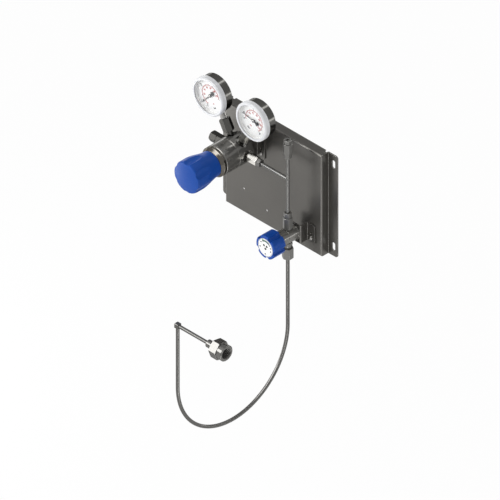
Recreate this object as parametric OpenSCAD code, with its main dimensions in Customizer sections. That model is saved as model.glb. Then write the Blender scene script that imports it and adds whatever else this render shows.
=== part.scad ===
// Gas regulator panel: bent wall plate, pressure regulator with two gauges, shut-off valve and pigtail.
// Frame: origin on the wall, midway between the four wall slots. X to the right, Y into the wall, Z up.

/* [Panel] */
// Width of the panel face
panel_w = 220; // [200:1:300]
// Height of the panel face
panel_h = 200; // [190:1:300]
// Distance from the wall to the front of the panel face
panel_depth = 18; // [14:1:30]
// Thickness of the bent sheet
sheet_t = 2; // [1.5:0.1:3]
// Inside radius of the sheet bends
bend_r = 1; // [0.5:0.1:2]
// Width of each wall flange, measured from the panel's side
flange_w = 21; // [18:1:35]
// Rounding of the flange's outer corners
flange_corner_r = 5; // [1:0.5:8]
// Size of the notch at the wall end of each return
corner_relief = 4; // [2:0.5:8]
// Distance between the left and the right wall slots
slot_spacing_x = 244; // [240:1:248]
// Distance between the upper and the lower wall slots
slot_spacing_z = 162.5; // [120:0.5:170]
// Width of a wall slot
slot_w = 7; // [5:0.5:9]
// End-to-end length of a wall slot
slot_l = 16; // [10:0.5:24]
// Diameter of the spare holes in the panel face
spare_hole_d = 4.5; // [3:0.5:6]

/* [Layout] */
// Sideways place of the regulator's axis
reg_x = -52.8; // [-60:0.1:-45]
// Height of the regulator's axis
reg_z = 48.3; // [40:0.1:55]
// Sideways place of the shut-off valve's axis and of the riser tube
valve_x = 65; // [55:0.1:70]
// Height of the shut-off valve's axis
valve_z = -62.4; // [-75:0.1:-50]
// Distance from the panel face to the plane of the ports and tubes
port_standoff = 32; // [30:0.5:34]

/* [Brackets] */
// Distance from the panel face to the front of a bracket
bracket_depth = 18; // [15:0.5:20]
// Height of a bracket
bracket_h = 34; // [30:1:44]
// Width of a bracket's foot
bracket_foot = 17; // [15:0.5:24]
// Distance from the regulator's axis to the bracket's side wall
reg_bracket_reach = 18; // [17:0.5:22]
// Distance from the valve's axis to the bracket's side wall
valve_bracket_reach = 15; // [14.5:0.5:20]
// Distance from a bracket's side wall to its foot screw
foot_screw_x = 8.3; // [7.5:0.1:9.5]
// Distance of the foot screw below the bracket's middle
foot_screw_drop = 9.6; // [7:0.1:12]
// Diameter of the foot screws
foot_screw_d = 4; // [3:0.5:5]
// Diameter of the screws that hold the regulator and the valve
body_screw_d = 5; // [4:0.5:6]
// Distance between the two screws that hold the regulator
reg_screw_pitch = 21; // [20:0.5:21.5]
// Distance between the two screws that hold the valve
valve_screw_pitch = 15; // [14:0.5:17]

/* [Regulator] */
// Diameter of the body and the spring housing
reg_d = 54; // [52:0.5:58]
// Length of the body
reg_body_l = 32; // [31:0.5:36]
// Length of the spring housing
bonnet_l = 29; // [28:0.5:40]
// Diameter of the ring in front of the spring housing
ring_d = 53.4; // [50:0.2:54]
// Length of that ring
ring_l = 11; // [8:0.5:14]
// Distance from the axis to the spot-faced flats round the ports
port_flat = 20; // [18.5:0.1:21.5]
// Diameter of the spot faces
port_flat_d = 22; // [18:0.5:23]
// Diameter of the threaded ports
port_d = 9.8; // [9.8:0.1:11]
// Diameter of the low-pressure chamber under the diaphragm
chamber_d = 40; // [36:0.5:42]
// Depth of that chamber
chamber_l = 5; // [4:0.5:6]
// Diameter of the high-pressure bore
seat_bore_d = 12; // [11:0.5:14]
// Thickness of the diaphragm
diaphragm_t = 0.4; // [0.3:0.1:0.8]
// Pitch of the adjusting thread
adjust_pitch = 1.5; // [1:0.25:1.75]
// Turns of the regulator knob from stop to stop
adjust_turns = 3; // [1:1:3]

/* [Regulator knob] */
// Largest diameter of the knob
knob_d = 57.8; // [54:0.2:62]
// Diameter of the knob at its waist, next to the ring
knob_waist_d = 45.6; // [42:0.2:48]
// Length of the knob
knob_l = 59; // [55:0.5:66]
// Length over which the knob swells from its waist to its largest diameter
knob_swell_l = 40; // [34:1:44]
// Rounding of the knob's front edge
knob_edge_r = 7; // [3:0.5:9]
// Radius of the shallow dome on the knob's front
knob_dome_r = 150; // [100:10:300]
// Number of grip flutes
knob_flutes = 6; // [4:1:9]
// Depth of a flute at the largest diameter
flute_depth = 2.9; // [1:0.1:3]

/* [Gauges] */
// Distance from the regulator's axis to a gauge's centre
gauge_reach = 99.6; // [96:0.2:110]
// Lean of each gauge away from the vertical
gauge_lean = 30; // [28:0.5:36]
// Outside diameter of the bezel
bezel_d = 70.4; // [69:0.2:72]
// Depth of the bezel
bezel_l = 10; // [9:0.5:12]
// Outside diameter of the case
case_d = 66.4; // [64:0.2:67]
// Depth of the case behind the bezel
case_l = 16; // [15:0.5:20]
// Wall of the case
case_wall = 1.2; // [0.8:0.1:1.6]
// Thickness of the window
window_t = 2; // [1.5:0.1:2.5]
// Width across the flats of a gauge adapter
adapter_af = 17; // [15:0.5:19]
// Distance from the regulator's axis to the adapter's hexagon
adapter_start = 33; // [30:0.5:35]
// Length of the adapter's hexagon
adapter_l = 22; // [18:0.5:23]
// Angle of the zero mark, clockwise from the stem
zero_angle = 71; // [45:1:90]
// Length of the pointer from its axis to its tip
pointer_l = 26; // [20:0.5:28]

/* [Tubing] */
// Outside diameter of the tubes
tube_d = 6.35; // [6:0.05:6.5]
// Wall of the tubes
tube_wall = 0.9; // [0.7:0.1:1.2]
// Width across the flats of the tube connectors
connector_af = 14.3; // [13:0.1:15]
// Length of the hexagon on top of the valve
connector_l = 21.5; // [18:0.5:24]
// Length of the inlet connector's hexagon
inlet_l = 19; // [17:0.5:21]
// Length of the purge union's hexagon
union_l = 18.5; // [16:0.5:22]
// Width across the flats of the tube nuts
tube_nut_af = 12; // [11.5:0.1:13]
// Length of the tube nuts on the riser
tube_nut_l = 9; // [8:0.5:10]
// Length of the tube nuts at the inlet and on top of the purge union
short_nut_l = 7; // [6.5:0.5:8]
// Height of the purge union's hexagon above the regulator's axis
union_rise = 51.7; // [46:0.1:60]
// Diameter of the tube that the outlet takes
outlet_tube_d = 8; // [7.5:0.1:8.5]
// Width across the flats of the outlet connector and nut
outlet_af = 17; // [16:0.5:19]

/* [Shut-off valve] */
// Diameter of the valve body
valve_d = 27; // [26:0.5:30]
// Length of the valve body
valve_body_l = 22; // [21:0.5:25]
// Diameter of the valve bonnet
valve_bonnet_d = 27; // [24:0.5:28]
// Length of the valve bonnet
valve_bonnet_l = 17; // [16:0.5:22]
// Distance from the axis to the flats round the valve's ports
valve_flat = 11.5; // [11:0.1:12.5]
// Outside diameter of the valve knob
valve_knob_d = 43.4; // [41:0.2:46]
// Length of the valve knob
valve_knob_l = 26; // [22:0.5:30]
// Number of notches round the valve knob
valve_notches = 5; // [4:1:7]
// Radius of a notch
notch_r = 5; // [3:0.5:6]
// Diameter of the disc on the front of the valve knob
disc_d = 33.4; // [30:0.2:34]
// Pitch of the valve's spindle
valve_pitch = 1; // [0.75:0.25:1.5]
// Turns of the valve knob from closed to open
valve_turns = 1.25; // [1:0.25:1.5]

/* [Pigtail] */
// Radius of the pigtail's bend, to the middle of the tube
pigtail_r = 126; // [100:1:140]
// Length of the straight leg below the valve
pigtail_drop = 132; // [110:1:150]
// Length of the straight leg up to the elbow
pigtail_rise = 118; // [100:1:130]
// Width of the elbow block
elbow_w = 9; // [8.6:0.1:13]
// Length of the straight tube beyond the elbow
stem_l = 64.4; // [50:0.2:80]
// Diameter of the cylinder nipple
nipple_d = 14; // [12:0.5:15]
// Length of the nipple behind the cylinder nut
nipple_l = 17.5; // [14:0.5:26]
// Width across the flats of the cylinder nut
cylinder_nut_af = 30; // [29:0.5:34]
// Length of the cylinder nut's hexagon
cylinder_hex_l = 15; // [10:0.5:16]
// Length of the cylinder nut's round skirt
cylinder_skirt_l = 10.5; // [8:0.1:14]
// Diameter of the cylinder nut's thread, at its crests
cylinder_thread_d = 21; // [20:0.1:22]
// Width across the flats of the nut under the valve
pigtail_nut_af = 17; // [16:0.5:19]
// Length of that nut
pigtail_nut_l = 20; // [16:0.5:22]

/* [Fits] */
// Clearance between a turning shaft and its bore, on the radius
running_gap = 0.05; // [0.02:0.01:0.1]
// Clearance of a screwed or pushed-in piece, on the radius
seat_gap = 0.05; // [0.02:0.01:0.1]
// Gap between faces that don't bear on each other
face_gap = 0.3; // [0.2:0.05:0.5]

/* [Hidden] */
$fn = 64;

steel = [0.42, 0.41, 0.40];
bright_steel = [0.72, 0.72, 0.71];
dark_steel = [0.27, 0.27, 0.27];
bronze = [0.55, 0.48, 0.36];
blue = [0.10, 0.25, 0.62];
white = [0.93, 0.93, 0.94];
black = [0.05, 0.05, 0.05];

// Places along Y
face_y = -panel_depth;
port_y = face_y - port_standoff;
seat_y = face_y - bracket_depth;
port_level = seat_y - port_y;

// Sheet bends
bend_out = bend_r + sheet_t;

// Allowance by which a cut runs past the face it opens
cut = 1;

// Regulator, measured forward from the bracket
bonnet_z = reg_body_l;
ring_z = bonnet_z + bonnet_l;
knob_z = ring_z + ring_l;
reg_r = reg_d / 2;
edge_chamfer = 0.5;
chamber_floor = reg_body_l - chamber_l;
seat_bore_floor = 6;
nozzle_l = 7;
nozzle_bore_r = 2;
poppet_stem_r = 1.2;
poppet_head_r = 3.6;
poppet_head_l = 3;
poppet_guide_r = 1.6;
poppet_tip_gap = 0.1;
poppet_under = chamber_floor - nozzle_l - poppet_head_l - seat_gap;
diaphragm_r = chamber_d / 2 + 3;
plate_t = 3;
plate_r = 14.5;
adjust_travel = adjust_pitch * adjust_turns;
spring_r = 11;
spring_turns = 3;
spring_wire_r = 1.1;
spring_z = bonnet_z + diaphragm_t + plate_t;
bonnet_top_t = 5;
bonnet_bore_r = 17;
key_r = 1.5;
spindle_r = 4;
spindle_neck_r = 5;
collar_r = 7.5;
collar_t = 2.2;
button_t = 4;
collar_z = ring_z - bonnet_top_t - face_gap - collar_t;
button_z = collar_z - face_gap - button_t;
spring_l = button_z - spring_z;
nose_r = 11;
nose_l = ring_l - face_gap;
ring_groove = 0.8;

// Regulator knob
knob_hub_r = 9;
knob_wall = 4.5;
knob_cavity_l = 36;
knob_swell_steps = 14;
flute_r = 15;
flute_turn = 31;
knob_socket_l = 24;

// Port directions round the regulator, from +X towards +Z
inlet_turn = 0;
outlet_turn = 180;
port_r = port_d / 2;
port_bore_end = 13;
drill_r = 1.5;
drill_reach = 15.2;

// Gauges
gauge_back = 9;
case_r = case_d / 2;
bezel_r = bezel_d / 2;
bezel_lip = 1.2;
bezel_opening_r = bezel_r - 5.2;
gauge_front_z = case_l + bezel_l;
window_z = gauge_front_z - bezel_lip - window_t;
dial_t = 0.8;
dial_z = window_z - 5.2;
dial_hole_r = 2;
pointer_t = 0.6;
pointer_gap = 1.2;
pointer_z = dial_z + dial_t + pointer_gap;
pointer_pin_r = 1;
pointer_hub_r = 3;
tail_l = 11;
socket_w = 12;
socket_neck_r = 5.5;
socket_top = gauge_reach - 12;
bourdon_r = 22;
bourdon_sweep = 250;
bourdon_start = 18.5;
bourdon_tube_r = 2;
movement_r = 7;
movement_low = gauge_back - 4;
movement_top = dial_z - face_gap;
pointer_pin_l = 6.2;
socket_thread_r = port_r - 0.6;
socket_thread_l = 9;
stem_level = gauge_back;

// Tube connectors, measured along the tube
tube_r = tube_d / 2;
bore_r = tube_r - tube_wall;
socket_r = tube_r + seat_gap;
spigot_l = 4;
spigot_r = 4.4;
nut_hole_r = tube_r + 0.12;
purge_socket_r = tube_r + 0.1;
ferrule_l = 1.8;
ferrule_r = spigot_r - 0.2;
hex_chamfer = 0.8;
neck_r = 4;
hex_turn = 30;
collar_l = 1.6;
collar_wide_r = 6.4;
washer_t = 2;
port_stem_l = 6.5;

// Inlet, outlet and purge connections
inlet_hex = port_flat + 11;
outlet_hex = port_flat + 7;
outlet_hex_l = 13.5;
outlet_nut_l = 14;
outlet_socket_r = outlet_tube_d / 2 + seat_gap;
outlet_spigot_r = 6.2;
outlet_spigot_l = 8;
outlet_socket_l = 10;
outlet_bore_r = 3;
union_z = reg_z + union_rise;
weld_h = 0.5;
tube_depth = 8;
inlet_tube_x = reg_x + inlet_hex + inlet_l - tube_depth + spigot_l;
valve_neck_l = 2;
riser_low_z = valve_z + valve_flat + valve_neck_l + connector_l + spigot_l - tube_depth;
riser_top_z = union_z - spigot_l + tube_depth;

// Shut-off valve, measured forward from the bracket
valve_r = valve_d / 2;
valve_rim_r = valve_r + 1;
valve_rim_l = 2;
valve_pin_turn = 50;
valve_spot_r = 8.5;
valve_chamber_r = 4;
valve_chamber_floor = 17;
valve_recess_r = 8.5;
valve_recess_l = 1.2;
valve_seat_r = 1.7;
valve_bore_r = 0.8;
valve_passage_r = 1;
valve_passage_x = 2.8;
valve_bonnet_z = valve_body_l;
valve_knob_z = valve_bonnet_z + valve_bonnet_l + face_gap;
valve_disc_t = 1;
valve_membrane_t = 0.3;
valve_membrane_r = 10;
valve_travel = valve_pitch * valve_turns;
valve_stem_r = 4;
valve_stem_l = 6;
valve_stem_floor = 2;
valve_stem_z = valve_bonnet_z + valve_membrane_t;
valve_screw_r = 2;
valve_shoulder_z = valve_stem_z + valve_stem_l + valve_travel + face_gap;
valve_shaft_r = 3.2;
valve_shoulder_r = 4.2;
valve_shoulder_l = 2;
valve_socket_l = 14;
valve_hub_r = 7;
valve_knob_wall = 2.4;
valve_cavity_l = 12;
notch_turn = 63;
notch_reach = valve_knob_d / 2 + 0.7;
valve_edge = 1.2;

// Pigtail
pigtail_neck_l = 13;
pigtail_start_z = valve_z - valve_flat - pigtail_neck_l - pigtail_nut_l;
pigtail_spigot_l = 9;
pigtail_spigot_r = spigot_r + 1;
pigtail_hex_l = 5;
bend_z = pigtail_start_z - pigtail_drop;
far_y = port_y - 2 * pigtail_r;
elbow_z = bend_z + pigtail_rise + elbow_w / 2;
elbow_chamfer = 1.2;
elbow_socket_l = 1.2;
nipple_x = valve_x + elbow_w / 2 + stem_l;
nipple_r = nipple_d / 2;
nut_x = nipple_x + nipple_l;
nut_wall = 3.2;
nipple_head_r = 9.6;
nipple_head_l = 6;
seal_l = 1.6;
seal_r = 8;
skirt_r = 14.4;
nipple_socket_l = 4;
cylinder_nut_turn = -10;
thread_r = cylinder_thread_d / 2;
relief_r = thread_r + 0.6;
thread_x = nut_x + nut_wall + face_gap + nipple_head_l + seal_l + face_gap;
cylinder_nut_l = cylinder_hex_l + cylinder_skirt_l;

// Screws
head_h = 2.6;
head_r = foot_screw_d * 0.9;
nut_h = 3.2;
screw_clearance = 0.25;
screw_socket_l = 2.5;
body_screw_head_l = 5;
body_screw_head_r = 4.2;
body_screw_depth = 7;
spare_holes = [[42, 46.5], [94.5, 29]];
foot_screws = [
    [reg_x + reg_bracket_reach + foot_screw_x, reg_z - foot_screw_drop],
    [valve_x + valve_bracket_reach + foot_screw_x, valve_z - foot_screw_drop]
];
body_screw_places = [
    [reg_x - reg_screw_pitch / 2, reg_z], [reg_x + reg_screw_pitch / 2, reg_z],
    [valve_x - valve_screw_pitch / 2, valve_z], [valve_x + valve_screw_pitch / 2, valve_z]
];

// Placing helpers: local Z points the way that the name says
module forward(x, y, z) { translate([x, y, z]) rotate([90, 0, 0]) children(); }
module backward(x, y, z) { translate([x, y, z]) rotate([-90, 0, 0]) children(); }
module rightward(x, y, z) { translate([x, y, z]) rotate([0, 90, 0]) children(); }
module at_regulator() { forward(reg_x, seat_y, reg_z) children(); }
module at_valve() { forward(valve_x, seat_y, valve_z) children(); }

// Local Z along a port of the regulator or the valve, from the axis outwards
module at_port(turn) {
    translate([0, 0, port_level]) rotate([0, 0, turn]) rotate([0, 90, 0]) rotate([0, 0, 90]) children();
}

// Gauge frame: local Z along the stem, dial to the front
module at_gauge(side) { translate([reg_x, port_y, reg_z]) rotate([0, side * gauge_lean, 0]) children(); }
module gauge_axis() { translate([0, stem_level, gauge_reach]) rotate([90, 0, 0]) children(); }

// Hexagonal bar with both ends chamfered, a flat on the local X side
module hex_bar(af, length) {
    corner = af / sqrt(3);
    intersection() {
        rotate([0, 0, 30]) cylinder(h = length, r = corner, $fn = 6);
        rotate_extrude() polygon([
            [0, 0], [corner - hex_chamfer * 1.5, 0], [corner, hex_chamfer],
            [corner, length - hex_chamfer], [corner - hex_chamfer * 1.5, length], [0, length]
        ]);
    }
}

// Plain ring
module ring(outer, inner, length) {
    difference() {
        cylinder(h = length, r = outer);
        translate([0, 0, -1]) cylinder(h = length + 2, r = inner);
    }
}

// Coil spring along local Z, one sweep of a round wire
module coil_spring(mean_r, wire_r, length, turns, steps, sides) {
    n = turns * steps;
    rise = (length - 2 * wire_r) / n;
    points = [for (i = [0:n]) for (j = [0:sides - 1])
        let (a = 360 * i / steps, b = 360 * j / sides, r = mean_r + wire_r * cos(b))
        [r * cos(a), r * sin(a), wire_r + rise * i + wire_r * sin(b)]];
    walls = [for (i = [0:n - 1]) for (j = [0:sides - 1])
        let (k = (j + 1) % sides)
        [i * sides + j, i * sides + k, (i + 1) * sides + k, (i + 1) * sides + j]];
    start = [[for (j = [sides - 1:-1:0]) j]];
    end = [[for (j = [0:sides - 1]) n * sides + j]];
    polyhedron(points = points, faces = concat(walls, start, end));
}

// Quarter of a bend in the sheet, in the quadrant that the turn names
module bend_2d(turn) {
    rotate([0, 0, turn]) intersection() {
        difference() {
            circle(r = bend_out);
            circle(r = bend_r);
        }
        square([bend_out, bend_out]);
    }
}

// Sheet metal
module side_profile_2d() {
    half = panel_w / 2;
    translate([-0.01, face_y]) square([half - bend_out + 0.01, sheet_t]);
    translate([half - bend_out, face_y + bend_out]) bend_2d(-90);
    translate([half - sheet_t, face_y + bend_out]) square([sheet_t, panel_depth - 2 * bend_out]);
    translate([half + bend_r, -bend_out]) bend_2d(90);
    translate([half + bend_r, -sheet_t]) square([flange_w - bend_r, sheet_t]);
}

module return_2d() {
    translate([face_y + bend_out, panel_h / 2 - bend_out]) bend_2d(90);
    translate([face_y + bend_out, panel_h / 2 - sheet_t]) square([panel_depth - bend_out, sheet_t]);
}

module wall_slot() {
    half = (slot_l - slot_w) / 2;
    backward(0, -sheet_t - 1, 0) {
        translate([0, half, 0]) cylinder(h = sheet_t + 2, r = slot_w / 2);
        translate([0, -half, 0]) cylinder(h = sheet_t + 2, r = slot_w / 2);
        translate([-slot_w / 2, -half, 0]) cube([slot_w, 2 * half, sheet_t + 2]);
    }
}

module flange_corner() {
    difference() {
        cube([flange_corner_r + 1, 3 * sheet_t, flange_corner_r + 1]);
        backward(0, -1, 0) cylinder(h = 3 * sheet_t + 2, r = flange_corner_r);
    }
}

// What is cut at a corner: the rounded end of the vertical bend and the notch beside the side wall
module panel_corner() {
    difference() {
        translate([0, face_y - cut, -bend_out]) cube([bend_out + cut, bend_out + cut, bend_out + cut]);
        rightward(-cut, face_y + bend_out, -bend_out) cylinder(h = bend_out + 3 * cut, r = bend_out);
    }
    translate([-corner_relief, -corner_relief, -sheet_t - cut])
        cube([corner_relief + bend_r / 2, corner_relief + cut, sheet_t + 2 * cut]);
}

module face_hole(x, z, d) { backward(x, face_y - 1, z) cylinder(h = sheet_t + 2, r = d / 2); }

module back_plate() {
    return_half = panel_w / 2 - bend_out;
    edge = panel_w / 2 + flange_w - flange_corner_r;
    color(steel) difference() {
        union() {
            difference() {
                translate([0, 0, -panel_h / 2]) linear_extrude(panel_h) {
                    side_profile_2d();
                    mirror([1, 0]) side_profile_2d();
                }
                for (s = [0, 1]) mirror([0, 0, s])
                    translate([-return_half, face_y - cut, panel_h / 2 - bend_out])
                        cube([2 * return_half, bend_out + cut, bend_out + cut]);
            }
            for (s = [0, 1]) mirror([0, 0, s])
                translate([-return_half, 0, 0]) rotate([90, 0, 90])
                    linear_extrude(2 * return_half) return_2d();
        }
        for (sx = [-1, 1]) for (sz = [-1, 1])
            translate([sx * slot_spacing_x / 2, 0, sz * slot_spacing_z / 2]) wall_slot();
        for (sx = [0, 1]) for (sz = [0, 1]) mirror([sx, 0, 0]) mirror([0, 0, sz])
            translate([edge, -2 * sheet_t, panel_h / 2 - flange_corner_r]) flange_corner();
        for (sx = [0, 1]) for (sz = [0, 1]) mirror([sx, 0, 0]) mirror([0, 0, sz])
            translate([return_half, 0, panel_h / 2]) panel_corner();
        for (p = spare_holes) face_hole(p[0] - panel_w / 2, p[1] - panel_h / 2, spare_hole_d);
        for (b = foot_screws) face_hole(b[0], b[1], foot_screw_d + 2 * screw_clearance);
    }
}

module bracket_2d(reach, front) {
    foot_y = face_y - sheet_t;
    translate([-front, seat_y]) square([front + reach - bend_out, sheet_t]);
    translate([reach - bend_out, seat_y + bend_out]) bend_2d(-90);
    translate([reach - sheet_t, seat_y + bend_out]) square([sheet_t, bracket_depth - 2 * bend_out]);
    translate([reach + bend_r, face_y - bend_out]) bend_2d(90);
    translate([reach + bend_r, foot_y]) square([bracket_foot - bend_r, sheet_t]);
}

module bracket(x, z, reach, front) {
    color(steel) difference() {
        translate([x, 0, z - bracket_h / 2]) linear_extrude(bracket_h) bracket_2d(reach, front);
        backward(x + reach + foot_screw_x, face_y - sheet_t - cut, z - foot_screw_drop)
            cylinder(h = sheet_t + 2 * cut, r = foot_screw_d / 2 + screw_clearance);
        backward(x + reach + foot_screw_x, face_y - sheet_t - cut, z)
            cylinder(h = sheet_t + 2 * cut, r = foot_screw_d / 2);
        for (p = body_screw_places) backward(p[0], seat_y - cut, p[1])
            cylinder(h = sheet_t + 2 * cut, r = body_screw_d / 2 + screw_clearance);
    }
}

module regulator_bracket() { bracket(reg_x, reg_z, reg_bracket_reach, reg_bracket_reach); }
module valve_bracket() { bracket(valve_x, valve_z, valve_bracket_reach, valve_r + 1); }

// Foot screws: domed head, shank through bracket and panel
module foot_screw() {
    shank_l = 2 * sheet_t + nut_h + 1;
    intersection() {
        cylinder(h = head_h, r = head_r);
        translate([0, 0, head_h - 2 * head_r]) sphere(r = 2 * head_r);
    }
    translate([0, 0, -shank_l]) cylinder(h = shank_l + 1, r = foot_screw_d / 2);
}

module bracket_screws() {
    color(bright_steel) for (b = foot_screws) forward(b[0], face_y - sheet_t, b[1]) difference() {
        foot_screw();
        translate([0, 0, head_h / 2]) cylinder(h = head_h, r = foot_screw_d * 0.35, $fn = 6);
    }
}

module bracket_nuts() {
    color(bright_steel) for (b = foot_screws) backward(b[0], face_y + sheet_t, b[1]) difference() {
        hex_bar(foot_screw_d * 1.75, nut_h);
        translate([0, 0, -1]) cylinder(h = nut_h + 2, r = foot_screw_d / 2 + seat_gap);
    }
}

module body_screws() {
    color(bright_steel) for (p = body_screw_places) forward(p[0], seat_y + sheet_t, p[1]) difference() {
        union() {
            translate([0, 0, -body_screw_head_l]) cylinder(h = body_screw_head_l, r = body_screw_head_r);
            cylinder(h = sheet_t + body_screw_depth, r = body_screw_d / 2);
        }
        translate([0, 0, -body_screw_head_l - cut])
            cylinder(h = screw_socket_l + cut, r = body_screw_d * 0.45, $fn = 6);
    }
}

module screw_holes(pitch) {
    for (s = [-1, 1]) translate([s * pitch / 2, 0, -cut])
        cylinder(h = body_screw_depth + 2 * cut, r = body_screw_d / 2 + seat_gap);
}

// Regulator
module regulator_port(turn) {
    at_port(turn) {
        translate([0, 0, port_flat]) cylinder(h = reg_r, r = port_flat_d / 2);
        translate([0, 0, port_bore_end]) cylinder(h = reg_r, r = port_r);
    }
}

module regulator_body() {
    color(dark_steel) at_regulator() difference() {
        rotate_extrude() polygon([
            [0, 0], [reg_r - 2 * edge_chamfer, 0], [reg_r, 2 * edge_chamfer],
            [reg_r, reg_body_l - edge_chamfer], [reg_r - edge_chamfer, reg_body_l], [0, reg_body_l]
        ]);
        translate([0, 0, chamber_floor]) cylinder(h = chamber_l + cut, r = chamber_d / 2);
        translate([0, 0, seat_bore_floor]) cylinder(h = reg_body_l, r = seat_bore_d / 2);
        for (turn = [inlet_turn, outlet_turn, 90 - gauge_lean, 90 + gauge_lean]) regulator_port(turn);
        for (turn = [inlet_turn, 90 - gauge_lean]) at_port(turn) cylinder(h = port_flat, r = drill_r);
        for (turn = [outlet_turn, 90 + gauge_lean]) rotate([0, 0, turn])
            translate([drill_reach, 0, port_level]) cylinder(h = reg_body_l, r = drill_r);
        screw_holes(reg_screw_pitch);
    }
}

module regulator_bonnet() {
    color(dark_steel) at_regulator() {
        difference() {
            translate([0, 0, bonnet_z]) union() {
                rotate_extrude() polygon([
                    [0, 0], [reg_r - edge_chamfer, 0], [reg_r, edge_chamfer],
                    [reg_r, bonnet_l - 2 * edge_chamfer], [reg_r - 2 * edge_chamfer, bonnet_l], [0, bonnet_l]
                ]);
                cylinder(h = bonnet_l + nose_l, r = nose_r);
            }
            translate([0, 0, bonnet_z - 1]) cylinder(h = diaphragm_t + 1, r = diaphragm_r + seat_gap);
            translate([0, 0, bonnet_z]) cylinder(h = bonnet_l - bonnet_top_t, r = bonnet_bore_r);
            translate([0, 0, bonnet_z]) cylinder(h = bonnet_l + nose_l + 1, r = spindle_neck_r + running_gap);
            rotate([0, 0, 90]) translate([reg_r - 6, 0, bonnet_z + bonnet_l / 2]) rotate([0, 90, 0])
                cylinder(h = 8, r = 1.2);
        }
        for (s = [0, 180]) rotate([0, 0, s])
            translate([bonnet_bore_r, 0, bonnet_z + diaphragm_t + plate_t + face_gap])
                bonnet_key();
    }
}

// Rib inside the spring housing that keeps the spring button from turning
module bonnet_key() {
    intersection() {
        cylinder(h = bonnet_l - bonnet_top_t - diaphragm_t - plate_t - face_gap, r = key_r);
        translate([-2 * key_r, -2 * key_r, 0]) cube([2 * key_r + 0.2, 4 * key_r, bonnet_l]);
    }
}

module bonnet_ring() {
    r = ring_d / 2;
    g = ring_groove;
    step = ring_l * 0.45;
    color(bronze) at_regulator() translate([0, 0, ring_z]) rotate_extrude() polygon([
        [nose_r + seat_gap, 0], [r - 2 * g, 0], [r - 2 * g, g], [r, g], [r, step], [r - g, step + g],
        [r - 4 * g, ring_l - face_gap], [nose_r + seat_gap, ring_l - face_gap]
    ]);
}

module seat_nozzle() {
    color(bronze) at_regulator() translate([0, 0, chamber_floor - nozzle_l]) difference() {
        cylinder(h = nozzle_l, r = seat_bore_d / 2 - seat_gap);
        translate([0, 0, -1]) cylinder(h = nozzle_l + 2, r = nozzle_bore_r);
        translate([0, 0, nozzle_l - 2]) cylinder(h = 3, r = seat_bore_d / 4, $fn = 6);
    }
}

module main_poppet() {
    stem_top = bonnet_z - poppet_tip_gap;
    guide_low = seat_bore_floor + 2.5;
    color(bright_steel) at_regulator() rotate_extrude() polygon([
        [0, guide_low], [poppet_guide_r, guide_low], [poppet_guide_r, poppet_under],
        [poppet_head_r, poppet_under], [poppet_head_r, poppet_under + poppet_head_l * 0.6],
        [nozzle_bore_r + 0.4, poppet_under + poppet_head_l], [poppet_stem_r, poppet_under + poppet_head_l],
        [poppet_stem_r, stem_top], [0, stem_top]
    ]);
}

module poppet_spring() {
    color(bright_steel) at_regulator() translate([0, 0, seat_bore_floor])
        coil_spring(poppet_guide_r + 1, 0.4, poppet_under - seat_bore_floor, 5, 14, 6);
}

module diaphragm() {
    color(bright_steel) at_regulator() translate([0, 0, bonnet_z]) cylinder(h = diaphragm_t, r = diaphragm_r);
}

module diaphragm_plate() {
    color(bright_steel) at_regulator() translate([0, 0, bonnet_z + diaphragm_t]) difference() {
        cylinder(h = plate_t, r = plate_r);
        translate([0, 0, plate_t - 1]) cylinder(h = 2, r = spring_r - spring_wire_r - 2);
    }
}

module range_spring() {
    color(dark_steel) at_regulator() translate([0, 0, spring_z])
        coil_spring(spring_r, spring_wire_r, spring_l, spring_turns, 24, 8);
}

module spring_button() {
    color(bright_steel) at_regulator() translate([0, 0, button_z]) difference() {
        cylinder(h = button_t, r = bonnet_bore_r - face_gap);
        translate([0, 0, -1]) cylinder(h = button_t + 2, r = spindle_r + running_gap);
        for (s = [0, 180]) rotate([0, 0, s]) translate([bonnet_bore_r, 0, -1])
            cylinder(h = button_t + 2, r = key_r + face_gap);
    }
}

module adjusting_spindle() {
    spindle_low = spring_z + face_gap;
    thread_low = button_z - adjust_travel - 1;
    neck_top = ring_z + nose_l + face_gap;
    top = knob_z + knob_socket_l;
    color(bright_steel) at_regulator() rotate_extrude() polygon([
        [0, spindle_low], [spindle_r - 1, spindle_low], [spindle_r - 1, thread_low], [spindle_r, thread_low],
        [spindle_r, collar_z], [collar_r, collar_z], [collar_r, collar_z + collar_t],
        [spindle_neck_r, collar_z + collar_t], [spindle_neck_r, neck_top],
        [spindle_r, neck_top], [spindle_r, top], [0, top]
    ]);
}

// Outline of the regulator knob: a swell from the waist to a barrel with a rounded, slightly domed front
module knob_2d() {
    rise = (knob_d - knob_waist_d) / 4;
    swell = [for (i = [0:knob_swell_steps]) let (t = i / knob_swell_steps)
        [knob_waist_d / 2 + rise * (1 - cos(180 * t)), knob_swell_l * t]];
    intersection() {
        union() {
            square([knob_d / 2, knob_l - knob_edge_r]);
            square([knob_d / 2 - knob_edge_r, knob_l]);
            translate([knob_d / 2 - knob_edge_r, knob_l - knob_edge_r]) circle(r = knob_edge_r);
        }
        translate([0, knob_l - knob_dome_r]) circle(r = knob_dome_r, $fn = 256);
        polygon(concat([[0, 0]], swell, [[knob_d / 2, knob_l], [0, knob_l]]));
    }
}

module regulator_knob() {
    color(blue) at_regulator() translate([0, 0, knob_z]) difference() {
        rotate_extrude() knob_2d();
        for (i = [0:knob_flutes - 1]) rotate([0, 0, flute_turn + i * 360 / knob_flutes])
            translate([knob_d / 2 + flute_r - flute_depth, 0, -1]) cylinder(h = knob_l + 2, r = flute_r);
        difference() {
            translate([0, 0, -1]) cylinder(h = knob_cavity_l + 1, r = knob_waist_d / 2 - knob_wall);
            translate([0, 0, face_gap]) cylinder(h = knob_l, r = knob_hub_r);
        }
        translate([0, 0, -1]) cylinder(h = knob_socket_l + 1 + seat_gap, r = spindle_r + seat_gap);
    }
}

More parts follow.
